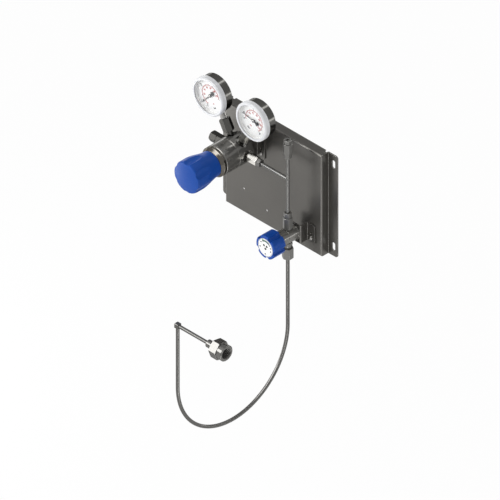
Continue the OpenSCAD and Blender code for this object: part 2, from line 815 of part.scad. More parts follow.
// Gauges
module gauge_adapter(side) {
    stem_end = adapter_start + adapter_l;
    color(steel) at_gauge(side) difference() {
        union() {
            translate([0, 0, port_flat - port_stem_l]) cylinder(h = port_stem_l + cut, r = port_r - seat_gap);
            translate([0, 0, port_flat]) cylinder(h = washer_t, r = port_flat_d / 2 - 3);
            translate([0, 0, port_flat]) cylinder(h = adapter_start - port_flat + 1, r = neck_r + 1);
            translate([0, 0, adapter_start]) rotate([0, 0, 90]) hex_bar(adapter_af, adapter_l);
        }
        translate([0, 0, stem_end - socket_thread_l - cut])
            cylinder(h = socket_thread_l + 2 * cut, r = socket_thread_r + seat_gap);
        translate([0, 0, port_bore_end]) cylinder(h = adapter_l + adapter_start, r = drill_r);
    }
}

module gauge_socket(side) {
    stem_low = adapter_start + adapter_l;
    case_edge = gauge_reach - case_r;
    block_low = case_edge + case_wall + 2 * face_gap;
    color(bright_steel) at_gauge(side) difference() {
        union() {
            translate([0, 0, stem_low - socket_thread_l])
                cylinder(h = socket_thread_l + cut, r = socket_thread_r);
            translate([0, 0, stem_low + face_gap]) cylinder(h = block_low - stem_low, r = socket_neck_r);
            translate([-socket_w / 2, -socket_w / 2, block_low])
                cube([socket_w, socket_w, socket_top - block_low]);
        }
        translate([0, 0, stem_low - socket_thread_l - cut])
            cylinder(h = socket_top - stem_low, r = drill_r);
    }
}

module gauge_case(side) {
    color(dark_steel) at_gauge(side) difference() {
        gauge_axis() rotate_extrude() polygon([
            [0, 0], [case_r - 1.5, 0], [case_r, 1.5], [case_r, window_z], [case_r - case_wall, window_z],
            [case_r - case_wall, case_wall], [0, case_wall]
        ]);
        translate([0, 0, gauge_reach - case_r - 3]) cylinder(h = 8, r = socket_neck_r + seat_gap);
    }
}

module gauge_bezel(side) {
    inner = case_r + seat_gap;
    color(white) at_gauge(side) gauge_axis() translate([0, 0, case_l]) rotate_extrude() polygon([
        [inner, 0], [bezel_r - 0.6, 0], [bezel_r, 0.6], [bezel_r, bezel_l - 1.8], [bezel_r - 1.8, bezel_l],
        [bezel_opening_r + 0.8, bezel_l], [bezel_opening_r, bezel_l - bezel_lip], [inner, bezel_l - bezel_lip]
    ]);
}

module gauge_window(side) {
    color([0.85, 0.90, 0.92, 0.35]) at_gauge(side) gauge_axis() translate([0, 0, window_z])
        cylinder(h = window_t, r = case_r - seat_gap);
}

module gauge_dial(side) {
    color(white) at_gauge(side) gauge_axis() translate([0, 0, dial_z])
        ring(case_r - case_wall - seat_gap, dial_hole_r, dial_t);
}

// Pointer, drawn along local X and turned to the zero mark
module gauge_pointer(side) {
    color(black) at_gauge(side) gauge_axis() translate([0, 0, pointer_z]) {
        rotate([0, 0, -90 - zero_angle]) linear_extrude(pointer_t) pointer_2d();
        cylinder(h = 2 * pointer_t, r = pointer_hub_r);
        translate([0, 0, -pointer_pin_l]) cylinder(h = pointer_pin_l + pointer_t, r = pointer_pin_r);
    }
}

module pointer_2d() {
    polygon([[pointer_l, -0.25], [pointer_l, 0.25], [0, 0.9], [-tail_l * 0.4, 0.9], [-tail_l, 2.9],
        [-tail_l - 0.6, 2.4], [-tail_l - 0.6, -2.4], [-tail_l, -2.9], [-tail_l * 0.4, -0.9], [0, -0.9]]);
}

// Curved pressure tube and the movement that carries the pointer's pin
module gauge_bourdon(side) {
    block_top = socket_top - gauge_reach;
    color(bronze) at_gauge(side) gauge_axis() {
        translate([0, 0, stem_level]) rotate([0, 0, bourdon_start - 90]) rotate_extrude(angle = bourdon_sweep)
            translate([bourdon_r, 0]) circle(r = bourdon_tube_r);
        difference() {
            union() {
                translate([0, 0, movement_low]) cylinder(h = movement_top - movement_low, r = movement_r);
                translate([-socket_w / 3, block_top + face_gap, movement_low])
                    cube([socket_w * 2 / 3, -block_top - face_gap, socket_w / 2]);
            }
            translate([0, 0, stem_level]) cylinder(h = movement_top, r = pointer_pin_r + running_gap);
        }
    }
}

// Tube connectors: local Z along the tube, hexagon from 0 to its length
module connector_hex(af, length) {
    hex_bar(af, length);
    translate([0, 0, length - 1]) cylinder(h = spigot_l + 1, r = spigot_r);
}

module connector_bore(length, r) {
    translate([0, 0, length + spigot_l - tube_depth - 0.5]) cylinder(h = tube_depth + 1, r = r);
}

module tube_nut(af, length) {
    difference() {
        hex_bar(af, length);
        translate([0, 0, -1]) cylinder(h = spigot_l + ferrule_l + 1, r = spigot_r + seat_gap);
        translate([0, 0, -1]) cylinder(h = length + 2, r = nut_hole_r);
    }
}

module ferrule() {
    translate([0, 0, spigot_l + seat_gap]) difference() {
        cylinder(h = ferrule_l - 3 * seat_gap, r = ferrule_r);
        translate([0, 0, -1]) cylinder(h = ferrule_l + 2, r = socket_r);
    }
}

module port_connector(flat, hex_start, length) {
    difference() {
        union() {
            translate([0, 0, flat - port_stem_l]) cylinder(h = port_stem_l + 1, r = port_r - seat_gap);
            translate([0, 0, flat]) cylinder(h = hex_start - flat, r = neck_r);
            translate([0, 0, hex_start - collar_l]) cylinder(h = collar_l + 1, r = collar_wide_r);
            translate([0, 0, hex_start]) connector_hex(connector_af, length);
        }
        translate([0, 0, flat - port_stem_l - 1]) cylinder(h = hex_start + length, r = bore_r);
        translate([0, 0, hex_start]) connector_bore(length, socket_r);
    }
}

module inlet_connector() {
    color(bright_steel) at_regulator() at_port(inlet_turn) rotate([0, 0, hex_turn])
        port_connector(port_flat, inlet_hex, inlet_l);
}

module outlet_connector() {
    stem_low = port_flat - port_stem_l;
    spigot_end = outlet_hex + outlet_hex_l + outlet_spigot_l;
    color(dark_steel) at_regulator() at_port(outlet_turn) difference() {
        union() {
            translate([0, 0, stem_low]) cylinder(h = port_stem_l + cut, r = port_r - seat_gap);
            translate([0, 0, port_flat]) cylinder(h = outlet_hex - port_flat + cut, r = neck_r + 2);
            translate([0, 0, outlet_hex]) hex_bar(outlet_af, outlet_hex_l);
            translate([0, 0, outlet_hex]) cylinder(h = spigot_end - outlet_hex, r = outlet_spigot_r);
        }
        translate([0, 0, stem_low - cut]) cylinder(h = spigot_end - stem_low, r = outlet_bore_r);
        translate([0, 0, spigot_end - outlet_socket_l])
            cylinder(h = outlet_socket_l + cut, r = outlet_socket_r);
    }
}

module outlet_nut() {
    color(dark_steel) at_regulator() at_port(outlet_turn)
        translate([0, 0, outlet_hex + outlet_hex_l + face_gap]) difference() {
            hex_bar(outlet_af, outlet_nut_l);
            translate([0, 0, -1]) cylinder(h = outlet_spigot_l + 1, r = outlet_spigot_r + seat_gap);
            translate([0, 0, -1]) cylinder(h = outlet_nut_l + 2, r = outlet_socket_r);
        }
}

// The places of the tube nuts at both ends of the riser, and of the one at the inlet
module riser_nut_places() {
    at_valve() at_port(90)
        translate([0, 0, valve_flat + valve_neck_l + connector_l + face_gap]) children();
    translate([valve_x, port_y, union_z - face_gap]) mirror([0, 0, 1]) children();
}

module inlet_nut_place() {
    at_regulator() at_port(inlet_turn) rotate([0, 0, hex_turn])
        translate([0, 0, inlet_hex + inlet_l + face_gap]) children();
}

module tube_nuts() {
    color(bright_steel) {
        riser_nut_places() tube_nut(tube_nut_af, tube_nut_l);
        inlet_nut_place() tube_nut(tube_nut_af, short_nut_l);
    }
}

module purge_nut() {
    color(bright_steel) translate([valve_x, port_y, union_z + union_l + face_gap])
        tube_nut(tube_nut_af, short_nut_l);
}

module tube_ferrules() {
    color(bright_steel) {
        riser_nut_places() ferrule();
        inlet_nut_place() ferrule();
    }
}

// Riser and inlet tube as solid bars, longer by the given amount at their free ends
module tube_shape(r, longer) {
    translate([valve_x, port_y, riser_low_z - longer])
        cylinder(h = riser_top_z - riser_low_z + 2 * longer, r = r);
    rightward(inlet_tube_x - longer, port_y, reg_z) cylinder(h = valve_x - inlet_tube_x + longer, r = r);
}

module tube_manifold() {
    color(bright_steel) difference() {
        union() {
            tube_shape(tube_r, 0);
            translate([valve_x, port_y, reg_z]) sphere(r = tube_r + weld_h);
        }
        tube_shape(bore_r, cut);
    }
}

module purge_union() {
    color(steel) translate([valve_x, port_y, union_z]) difference() {
        union() {
            connector_hex(connector_af, union_l);
            translate([0, 0, -spigot_l]) cylinder(h = spigot_l + 1, r = spigot_r);
        }
        translate([0, 0, -spigot_l - 1]) cylinder(h = union_l + 2 * spigot_l + 2, r = bore_r);
        connector_bore(union_l, purge_socket_r);
        translate([0, 0, -spigot_l - 1]) cylinder(h = tube_depth + 1.5, r = socket_r);
    }
}

// Shut-off valve
module valve_body() {
    color(steel) at_valve() difference() {
        union() {
            cylinder(h = valve_body_l, r = valve_r);
            cylinder(h = valve_rim_l, r = valve_rim_r);
            rotate([0, 0, valve_pin_turn]) translate([0, 0, valve_body_l - 2]) rotate([0, 90, 0])
                cylinder(h = valve_r + 0.6, r = 1);
        }
        for (turn = [90, 270]) at_port(turn) {
            translate([0, 0, valve_flat]) cylinder(h = valve_r, r = valve_spot_r);
            translate([0, 0, valve_flat - port_stem_l - face_gap]) cylinder(h = valve_r, r = port_r);
        }
        at_port(270) cylinder(h = valve_r, r = valve_passage_r);
        at_port(90) translate([0, 0, valve_passage_x]) cylinder(h = valve_r, r = valve_passage_r);
        translate([0, valve_passage_x, port_level]) cylinder(h = valve_body_l, r = valve_bore_r);
        translate([0, 0, port_level]) cylinder(h = valve_body_l, r = valve_bore_r);
        difference() {
            union() {
                translate([0, 0, valve_chamber_floor]) cylinder(h = valve_body_l, r = valve_chamber_r);
                translate([0, 0, valve_body_l - valve_recess_l])
                    cylinder(h = valve_body_l, r = valve_recess_r);
            }
            cylinder(h = valve_body_l, r = valve_seat_r);
        }
        screw_holes(valve_screw_pitch);
    }
}

module valve_bonnet() {
    bore_l = valve_stem_l + valve_travel + face_gap + valve_shoulder_l + valve_membrane_t + face_gap;
    r = valve_bonnet_d / 2;
    color(bronze) at_valve() translate([0, 0, valve_bonnet_z]) difference() {
        rotate_extrude() polygon([
            [0, 0], [r - edge_chamfer, 0], [r, edge_chamfer], [r, valve_bonnet_l - edge_chamfer],
            [r - edge_chamfer, valve_bonnet_l], [0, valve_bonnet_l]
        ]);
        translate([0, 0, -1]) cylinder(h = valve_membrane_t + 1, r = valve_membrane_r + seat_gap);
        translate([0, 0, -1]) cylinder(h = bore_l + 1, r = valve_shoulder_r + running_gap);
        translate([0, 0, -1]) cylinder(h = valve_bonnet_l + 2, r = valve_shaft_r + running_gap);
    }
}

module valve_diaphragm() {
    color(bright_steel) at_valve() translate([0, 0, valve_bonnet_z])
        cylinder(h = valve_membrane_t, r = valve_membrane_r);
}

module valve_stem() {
    color(bronze) at_valve() translate([0, 0, valve_stem_z]) difference() {
        cylinder(h = valve_stem_l, r = valve_stem_r);
        translate([0, 0, valve_stem_floor]) cylinder(h = valve_stem_l, r = valve_screw_r + running_gap);
    }
}

module valve_spindle() {
    low = valve_stem_z + valve_stem_floor + valve_travel + face_gap;
    step = valve_shoulder_z + valve_shoulder_l;
    top = valve_knob_z + valve_socket_l;
    color(bright_steel) at_valve() rotate_extrude() polygon([
        [0, low], [valve_screw_r, low], [valve_screw_r, valve_shoulder_z],
        [valve_shoulder_r, valve_shoulder_z], [valve_shoulder_r, step], [valve_shaft_r, step],
        [valve_shaft_r, top], [0, top]
    ]);
}

module valve_knob() {
    r = valve_knob_d / 2;
    cavity_r = notch_reach - notch_r - valve_knob_wall;
    color(blue) at_valve() translate([0, 0, valve_knob_z]) difference() {
        rotate_extrude() polygon([
            [0, 0], [r - valve_edge, 0], [r, valve_edge], [r, valve_knob_l - valve_edge],
            [r - valve_edge, valve_knob_l], [0, valve_knob_l]
        ]);
        for (i = [0:valve_notches - 1]) rotate([0, 0, notch_turn + i * 360 / valve_notches])
            translate([notch_reach, 0, -1]) cylinder(h = valve_knob_l + 2, r = notch_r);
        translate([0, 0, valve_knob_l - valve_disc_t]) cylinder(h = 2, r = disc_d / 2 + seat_gap);
        difference() {
            translate([0, 0, -1]) cylinder(h = valve_cavity_l + 1, r = cavity_r);
            translate([0, 0, -2]) cylinder(h = valve_knob_l, r = valve_hub_r);
        }
        translate([0, 0, -1]) cylinder(h = valve_socket_l + 1 + seat_gap, r = valve_shaft_r + seat_gap);
    }
}

module knob_disc() {
    color(white) at_valve() translate([0, 0, valve_knob_z + valve_knob_l - valve_disc_t])
        cylinder(h = valve_disc_t, r = disc_d / 2);
}

module valve_top_connector() {
    color(steel) at_valve() at_port(90) port_connector(valve_flat, valve_flat + valve_neck_l, connector_l);
}

module valve_bottom_connector() {
    stem_low = valve_flat - port_stem_l;
    spigot_end = valve_flat + pigtail_neck_l + pigtail_spigot_l;
    color(steel) at_valve() at_port(270) difference() {
        union() {
            translate([0, 0, stem_low]) cylinder(h = port_stem_l + cut, r = port_r - seat_gap);
            translate([0, 0, valve_flat]) cylinder(h = pigtail_neck_l, r = neck_r + 2);
            translate([0, 0, valve_flat + valve_neck_l]) hex_bar(connector_af, pigtail_hex_l);
            translate([0, 0, valve_flat + pigtail_neck_l - cut])
                cylinder(h = pigtail_spigot_l + cut, r = pigtail_spigot_r);
        }
        translate([0, 0, stem_low - cut]) cylinder(h = spigot_end - stem_low + 2 * cut, r = bore_r);
    }
}

// Pigtail
module pigtail_nut() {
    color(steel) translate([valve_x, port_y, pigtail_start_z]) difference() {
        intersection() {
            hex_bar(pigtail_nut_af, pigtail_nut_l);
            translate([0, 0, pigtail_nut_af * 0.62]) sphere(r = pigtail_nut_af * 0.82);
        }
        translate([0, 0, -cut]) cylinder(h = pigtail_nut_l + 2 * cut, r = nut_hole_r);
        translate([0, 0, pigtail_nut_l - pigtail_spigot_l - face_gap])
            cylinder(h = pigtail_spigot_l + 2 * cut, r = pigtail_spigot_r + seat_gap);
    }
}

module tube_section() {
    difference() {
        circle(r = tube_r);
        circle(r = bore_r);
    }
}

module pigtail_tube() {
    top = pigtail_start_z + pigtail_nut_l - pigtail_spigot_l - face_gap;
    color(bright_steel) union() {
        translate([valve_x, port_y, bend_z]) linear_extrude(top - bend_z) tube_section();
        translate([valve_x, far_y, bend_z]) linear_extrude(pigtail_rise + elbow_socket_l) tube_section();
        translate([valve_x, port_y - pigtail_r, bend_z]) rotate([0, -90, 0]) rotate([0, 0, 90])
            rotate_extrude(angle = 180) translate([pigtail_r, 0]) tube_section();
    }
}

module pigtail_elbow() {
    w = elbow_w;
    c = elbow_chamfer;
    color(bright_steel) translate([valve_x, far_y, elbow_z]) difference() {
        intersection() {
            cube([w, w, w], center = true);
            rotate([45, 0, 0]) cube([w * 2, w * sqrt(2) - c, w * sqrt(2) - c], center = true);
            rotate([0, 45, 0]) cube([w * sqrt(2) - c, w * 2, w * sqrt(2) - c], center = true);
            rotate([0, 0, 45]) cube([w * sqrt(2) - c, w * sqrt(2) - c, w * 2], center = true);
        }
        translate([0, 0, -w]) cylinder(h = w / 2 + elbow_socket_l + seat_gap, r = socket_r);
        rotate([0, 90, 0]) translate([0, 0, w / 2 - elbow_socket_l - seat_gap]) cylinder(h = w, r = socket_r);
        translate([0, 0, -w]) cylinder(h = w, r = bore_r);
        rotate([0, 90, 0]) cylinder(h = w, r = bore_r);
    }
}

module nipple_stem() {
    start = valve_x + elbow_w / 2 - elbow_socket_l;
    color(bright_steel) rightward(start, far_y, elbow_z)
        ring(tube_r, bore_r, nipple_x - start + nipple_socket_l);
}

module cylinder_nipple() {
    head_x = nipple_l + nut_wall + face_gap;
    color(steel) rightward(nipple_x, far_y, elbow_z) difference() {
        rotate_extrude() polygon([
            [0, 0], [nipple_r - 1.5, 0], [nipple_r, 1.5], [nipple_r, head_x], [nipple_head_r, head_x],
            [nipple_head_r, head_x + nipple_head_l], [0, head_x + nipple_head_l]
        ]);
        translate([0, 0, -1]) cylinder(h = nipple_socket_l + 1 + seat_gap, r = socket_r);
        translate([0, 0, -1]) cylinder(h = head_x + nipple_head_l + 2, r = bore_r);
    }
}

module cylinder_nut() {
    color(bright_steel) rightward(nut_x, far_y, elbow_z) difference() {
        union() {
            rotate([0, 0, cylinder_nut_turn]) hex_bar(cylinder_nut_af, cylinder_hex_l);
            cylinder(h = cylinder_nut_l - 1, r = skirt_r);
            cylinder(h = cylinder_nut_l, r = skirt_r - 1);
        }
        translate([0, 0, -1]) cylinder(h = cylinder_nut_l, r = nipple_r + running_gap);
        translate([0, 0, nut_wall]) cylinder(h = thread_x - nut_x - nut_wall, r = relief_r);
        translate([0, 0, thread_x - nut_x - 0.1]) cylinder(h = cylinder_nut_l, r = thread_r);
    }
}

module seal_ring() {
    seal_x = nipple_l + nut_wall + face_gap + nipple_head_l;
    color(black) rightward(nipple_x + seal_x, far_y, elbow_z) ring(seal_r, seal_r - 3, seal_l);
}

back_plate();
regulator_bracket();
valve_bracket();
bracket_screws();
bracket_nuts();
body_screws();
regulator_body();
regulator_bonnet();
bonnet_ring();
seat_nozzle();
main_poppet();
poppet_spring();
diaphragm();
diaphragm_plate();
range_spring();
spring_button();
adjusting_spindle();
regulator_knob();
gauge_adapter(-1);  // left_gauge_adapter
gauge_socket(-1);  // left_gauge_socket
gauge_case(-1);  // left_gauge_case
gauge_bezel(-1);  // left_gauge_bezel
gauge_window(-1);  // left_gauge_window
gauge_dial(-1);  // left_gauge_dial
gauge_pointer(-1);  // left_gauge_pointer
gauge_bourdon(-1);  // left_gauge_bourdon
gauge_adapter(1);  // right_gauge_adapter
gauge_socket(1);  // right_gauge_socket
gauge_case(1);  // right_gauge_case
gauge_bezel(1);  // right_gauge_bezel
gauge_window(1);  // right_gauge_window
gauge_dial(1);  // right_gauge_dial
gauge_pointer(1);  // right_gauge_pointer
gauge_bourdon(1);  // right_gauge_bourdon
outlet_connector();
outlet_nut();
inlet_connector();
tube_nuts();
tube_ferrules();
tube_manifold();
purge_union();
purge_nut();
valve_body();
valve_bonnet();
valve_diaphragm();
valve_stem();
valve_spindle();
valve_knob();
knob_disc();
valve_top_connector();
valve_bottom_connector();
pigtail_nut();
pigtail_tube();
pigtail_elbow();
nipple_stem();
cylinder_nipple();
cylinder_nut();
seal_ring();
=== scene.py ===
"""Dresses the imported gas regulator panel: metal and plastic finishes, gauge and knob prints, nut thread, studio."""

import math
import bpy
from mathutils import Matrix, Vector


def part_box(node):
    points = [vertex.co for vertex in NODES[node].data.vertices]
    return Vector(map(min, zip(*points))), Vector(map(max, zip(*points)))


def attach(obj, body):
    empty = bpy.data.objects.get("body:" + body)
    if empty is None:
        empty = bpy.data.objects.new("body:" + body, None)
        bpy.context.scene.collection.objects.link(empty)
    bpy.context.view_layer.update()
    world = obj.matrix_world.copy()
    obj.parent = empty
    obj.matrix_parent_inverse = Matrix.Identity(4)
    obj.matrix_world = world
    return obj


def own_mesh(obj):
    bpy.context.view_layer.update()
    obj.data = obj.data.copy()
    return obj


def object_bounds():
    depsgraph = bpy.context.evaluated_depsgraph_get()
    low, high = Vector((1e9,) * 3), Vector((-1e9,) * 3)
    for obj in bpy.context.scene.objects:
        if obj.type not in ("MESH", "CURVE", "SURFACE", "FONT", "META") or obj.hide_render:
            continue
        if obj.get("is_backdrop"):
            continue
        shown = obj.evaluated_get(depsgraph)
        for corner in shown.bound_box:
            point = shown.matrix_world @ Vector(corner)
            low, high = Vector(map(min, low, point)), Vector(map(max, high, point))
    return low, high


bl_info = {
    "name": "Gas Regulator Panel",
    "version": (1, 0, 0),
    "blender": (4, 5, 0),
    "location": "View3D > Sidebar > Gas Panel",
    "description": "Finishes, printed marks and a studio for a wall panel with a gas regulator",
    "category": "Object",
}

import bmesh
import bpy
from mathutils import Matrix, Vector

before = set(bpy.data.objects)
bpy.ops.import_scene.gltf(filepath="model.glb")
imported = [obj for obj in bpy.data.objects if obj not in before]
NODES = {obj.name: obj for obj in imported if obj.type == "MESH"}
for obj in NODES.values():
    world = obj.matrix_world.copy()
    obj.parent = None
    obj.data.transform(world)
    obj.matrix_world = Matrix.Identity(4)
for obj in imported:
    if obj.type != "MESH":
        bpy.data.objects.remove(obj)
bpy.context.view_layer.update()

# Ridges and prints lie this far into the surface that carries them
SINK = 0.00002

# Which way each gauge leans, by how much, and where its scale has 0 bar, clockwise from straight down
SIDES = {"left": -1, "right": 1}
GAUGE_LEAN = math.radians(30)
ZERO_ANGLE = 72.0
ANGLE_PER_BAR = 25.0
BAR_PER_TEN_PSI = 0.6895

# Travel that presses each spring
SPRING_STROKES = {
    "range_spring": ("spring_button_slide", 0.0045),
    "poppet_spring": ("main_poppet_lift", 0.0005),
}

# The orthographic view: its middle, its width and how far off the camera stands
VIEW_TARGET = Vector((0.0143, -0.0858, -0.1001))
VIEW_WIDTH = 0.8096
CAMERA_WAY = Vector((1, -1, 1))
CAMERA_DISTANCE = 3.0

# Soft lamps: what they look at, their place from it, width and height in metres, and power in watts
RISER = Vector((0, -0.05, 0.04))
LAMPS = {
    "softbox": (VIEW_TARGET, (-1.04, -1.31, 0.67), 0.77, 0.86, 13.0),
    "side_box": (VIEW_TARGET, (-0.80, -0.36, -0.21), 0.36, 0.34, 2.2),
    "low_strip": (RISER, (0.346, -0.346, -0.37), 0.07, 0.34, 0.5),
}
FLOOR_HALF = 9.0
FLOOR_DROP = 0.16
FLOOR_GLOW = 0.95


# Sizes and colours that a user would change


def length(name, text, value):
    """A size in metres."""
    return bpy.props.FloatProperty(name=name, description=text, default=value, min=0, unit="LENGTH", precision=4)


def paint(name, text, value):
    """A colour, as linear red, green and blue."""
    return bpy.props.FloatVectorProperty(
        name=name, description=text, default=value, min=0, max=1, size=3, subtype="COLOR"
    )


def share(name, text, value):
    """A number from 0 to 1."""
    return bpy.props.FloatProperty(name=name, description=text, default=value, min=0, max=1, subtype="FACTOR")


class PanelFinishes(bpy.types.PropertyGroup):
    """Colours and roughness of the panel's metals and plastics."""

    sheet: paint("Sheet", "Bent wall plate and brackets", (0.136, 0.131, 0.122))
    body: paint("Bodies", "Regulator and valve bodies", (0.205, 0.200, 0.188))
    case: paint("Cases", "Gauge cases and adapters", (0.122, 0.120, 0.113))
    fitting: paint("Bright fittings", "Gauge sockets, screws and ferrules", (0.40, 0.39, 0.375))
    dull_fitting: paint("Dull fittings", "Connectors, unions and nuts", (0.125, 0.123, 0.117))
    polished: paint("Polished fittings", "Connector of the inlet", (0.80, 0.78, 0.74))
    blackened: paint("Blackened fittings", "Connector and nut of the outlet", (0.040, 0.039, 0.036))
    tube: paint("Tubes", "Drawn tubes of the panel", (0.16, 0.158, 0.152))
    ring: paint("Ring", "Warm-toned ring of the bonnet", (0.140, 0.130, 0.114))
    brass: paint("Brass", "Bourdon tubes, seat and stem", (0.60, 0.45, 0.22))
    knob: paint("Knobs", "Moulded hand knobs", (0.004, 0.062, 0.340))
    bezel: paint("Bezels", "Lacquered gauge bezels", (0.74, 0.75, 0.77))
    dial: paint("Dials", "Gauge dials, their rings and the knob's disc", (0.90, 0.90, 0.89))
    ink: paint("Black ink", "Figures, long marks and pointers", (0.012, 0.012, 0.013))
    red_ink: paint("Red ink", "Inner scale", (0.42, 0.035, 0.030))
    roughness: share("Sheet roughness", "Roughness of the bent sheet", 0.30)
    # Strength of the painted highlight on the edges of metal parts
    edge_wear: share("Edge wear", "How much brighter the edges of metal parts are", 0.6)


class PanelMarks(bpy.types.PropertyGroup):
    """Places and sizes of the printed marks and of the thread."""

    figure_r: length("Figure radius", "From the dial's centre to the black figures", 0.0236)
    figure_h: length("Figure height", "Height of the black figures", 0.0046)
    small_figure_r: length("Small figure radius", "From the centre to the red figures", 0.0142)
    small_figure_h: length("Small figure height", "Height of the red figures", 0.0032)
    band_r: length("Band radius", "Middle of the red band", 0.0190)
    band_w: length("Band width", "Width of the red band", 0.0009)
    print_h: length("Print thickness", "How far a print stands proud", 0.00005)
    arc_r: length("Knob arc radius", "Middle of the coloured arc on the knob's disc", 0.0125)
    arc_w: length("Knob arc width", "Width of that arc", 0.0030)
    thread_pitch: length("Thread pitch", "Pitch of the cylinder nut's thread", 0.001814)
    thread_h: length("Thread height", "Height of the thread's ridge", 0.0006)


def finishes():
    """The scene's colours and roughness."""
    return bpy.context.scene.gas_panel_finishes


def marks():
    """The scene's sizes of marks and thread."""
    return bpy.context.scene.gas_panel_marks


# Shader expressions


class Sock:
    """A socket of a material's node tree, used in Python expressions."""

    def __init__(self, tree, socket):
        self.tree = tree
        self.socket = socket

    @classmethod
    def node(cls, tree, kind, settings=None, values=None, output=0):
        """Adds a node with its settings, then the values or links of its sockets."""
        made = tree.nodes.new(kind)
        for name, value in (settings or {}).items():
            if name == "stops":
                ramp = made.color_ramp
                while len(ramp.elements) < len(value):
                    ramp.elements.new(0.5)
                for element, (place, colour) in zip(ramp.elements, value):
                    element.position = place
                    element.color = (*colour, 1)
            else:
                setattr(made, name, value)
        for name, value in (values or {}).items():
            if isinstance(value, Sock):
                tree.links.new(value.socket, made.inputs[name])
            else:
                made.inputs[name].default_value = value
        return cls(tree, made.outputs[output])

    def also(self, kind, settings=None, values=None, output=0):
        """Another node in the same tree."""
        return Sock.node(self.tree, kind, settings, values, output)

    def math(self, operation, *values):
        """A Math node on sockets or numbers."""
        settings = {"operation": operation}
        return self.also("ShaderNodeMath", settings, dict(enumerate(values)))

    def __add__(self, other):
        return self.math("ADD", self, other)

    def __radd__(self, other):
        return self.math("ADD", other, self)

    def __sub__(self, other):
        return self.math("SUBTRACT", self, other)

    def __rsub__(self, other):
        return self.math("SUBTRACT", other, self)

    def __mul__(self, other):
        return self.math("MULTIPLY", self, other)

    def __rmul__(self, other):
        return self.math("MULTIPLY", other, self)

    def __truediv__(self, other):
        return self.math("DIVIDE", self, other)

    def peak(self, centre, reach):
        """1 near a value, and down to 0 at twice the reach from it."""
        away = self - centre
        return (2.0 - away.math("ABSOLUTE", away) / reach).clamped()

    def clamped(self):
        """This value, kept from 0 to 1."""
        return self.math("MINIMUM", self.math("MAXIMUM", self, 0.0), 1.0)

    def mixed(self, low, high):
        """A colour that runs from low to high as this value goes from 0 to 1."""
        values = {0: self, 6: rgba(low), 7: rgba(high)}
        return self.also("ShaderNodeMix", {"data_type": "RGBA"}, values, 2)


def rgba(colour):
    """A colour with full alpha, or the socket that it is."""
    return colour if isinstance(colour, Sock) else (*colour[:3], 1)


def scaled(colour, factor):
    """A lighter or darker colour."""
    return tuple(min(1.0, c * factor) for c in colour[:3])


def noise(place, stretch, scale=1.0, detail=2.0):
    """Noise on a place that is stretched by three factors."""
    mapped = place.also("ShaderNodeMapping", None, {"Vector": place, "Scale": stretch})
    return place.also("ShaderNodeTexNoise", None, {"Vector": mapped, "Scale": scale, "Detail": detail})


def new_material(name):
    """A material with its shader, and the place on the object."""
    made = bpy.data.materials.new(name)
    made.use_nodes = True
    tree = made.node_tree
    shader = next(n for n in tree.nodes if n.type == "BSDF_PRINCIPLED")
    place = Sock.node(tree, "ShaderNodeTexCoord", output="Object")
    return made, tree, shader, place


def feed(tree, shader, **values):
    """Links or sets the shader's sockets, named with underscores for spaces."""
    for name, value in values.items():
        socket = shader.inputs[name.replace("_", " ")]
        if isinstance(value, Sock):
            tree.links.new(value.socket, socket)
        else:
            socket.default_value = value


def rounded_normal(place, radius):
    """The normal with softened edges, and a mask of those edges."""
    normal = place.also("ShaderNodeBevel", {"samples": 6}, {"Radius": radius})
    flat = place.also("ShaderNodeNewGeometry", output="Normal")
    along = place.also("ShaderNodeVectorMath", {"operation": "DOT_PRODUCT"}, {0: normal, 1: flat}, "Value")
    return normal, ((1.0 - along) * 6.0).clamped()


def bumped(normal, height, strength, distance):
    """A normal that is disturbed by a height."""
    values = {"Strength": strength, "Distance": distance, "Height": height, "Normal": normal}
    return normal.also("ShaderNodeBump", None, values)


# A metal's edges are painted this many times as bright as its faces, as a painted highlight
EDGE_SHINE = 2.4


def metal(name, colour, roughness, grain, streak=0.05, mottle=0.06, edge=0.0003, tint=0.45, share_metal=1.0):
    """Worked steel or brass: grain lines, slow tone changes, softened edges with a painted highlight."""
    made, tree, shader, place = new_material(name)
    lines = noise(place, grain, 1.0, 3.0)
    patches = noise(place, (1, 1, 1), 16.0, 2.0)
    specks = noise(place, (1, 1, 1), 900.0, 2.0)
    if edge:
        normal, edges = rounded_normal(place, edge)
    else:
        normal, edges = place.also("ShaderNodeNewGeometry", output="Normal"), 0.0
    tone = (0.5 + (lines - 0.5) * (streak / mottle) + (patches - 0.5) * 0.8 + (specks - 0.5) * 0.3).clamped()
    ground = tone.mixed(scaled(colour, 1 - mottle), scaled(colour, 1 + mottle))
    # Painted highlight: the softened edges are lightened in the base colour
    painted_edge_colour = (edges * finishes().edge_wear).mixed(ground, scaled(colour, EDGE_SHINE)) if edge else ground
    rough = (roughness + (lines - 0.5) * 0.08 + (patches - 0.5) * 0.05 - edges * 0.05).clamped()
    bump = bumped(normal, lines, 0.10, 0.00003)
    feed(tree, shader, Base_Color=painted_edge_colour, Metallic=share_metal, Roughness=rough, Normal=bump)
    shader.inputs["Specular Tint"].default_value = (tint, tint, tint, 1)
    return made


def moulding(name, colour, roughness, grain, coat=0.0, edge=0.0004, gloss=0.5):
    """Moulded or lacquered plastic: fine texture, slight tone changes, softened edges with a painted highlight."""
    made, tree, shader, place = new_material(name)
    fine = noise(place, (1, 1, 1), grain, 3.0)
    slow = noise(place, (1, 1, 1), 30.0, 2.0)
    normal, edges = rounded_normal(place, edge)
    ground = slow.mixed(scaled(colour, 0.93), scaled(colour, 1.07))
    # Painted highlight: the softened edges are lightened to 1.3 times the colour
    painted_edge_colour = (edges * 0.35).mixed(ground, scaled(colour, 1.3))
    rough = (roughness + (fine - 0.5) * 0.12 + (slow - 0.5) * 0.08).clamped()
    bump = bumped(normal, fine, 0.25, 0.00004)
    feed(tree, shader, Base_Color=painted_edge_colour, Roughness=rough, Normal=bump)
    shader.inputs["Specular IOR Level"].default_value = gloss
    shader.inputs["Coat Weight"].default_value = coat
    shader.inputs["Coat Roughness"].default_value = 0.08
    return made


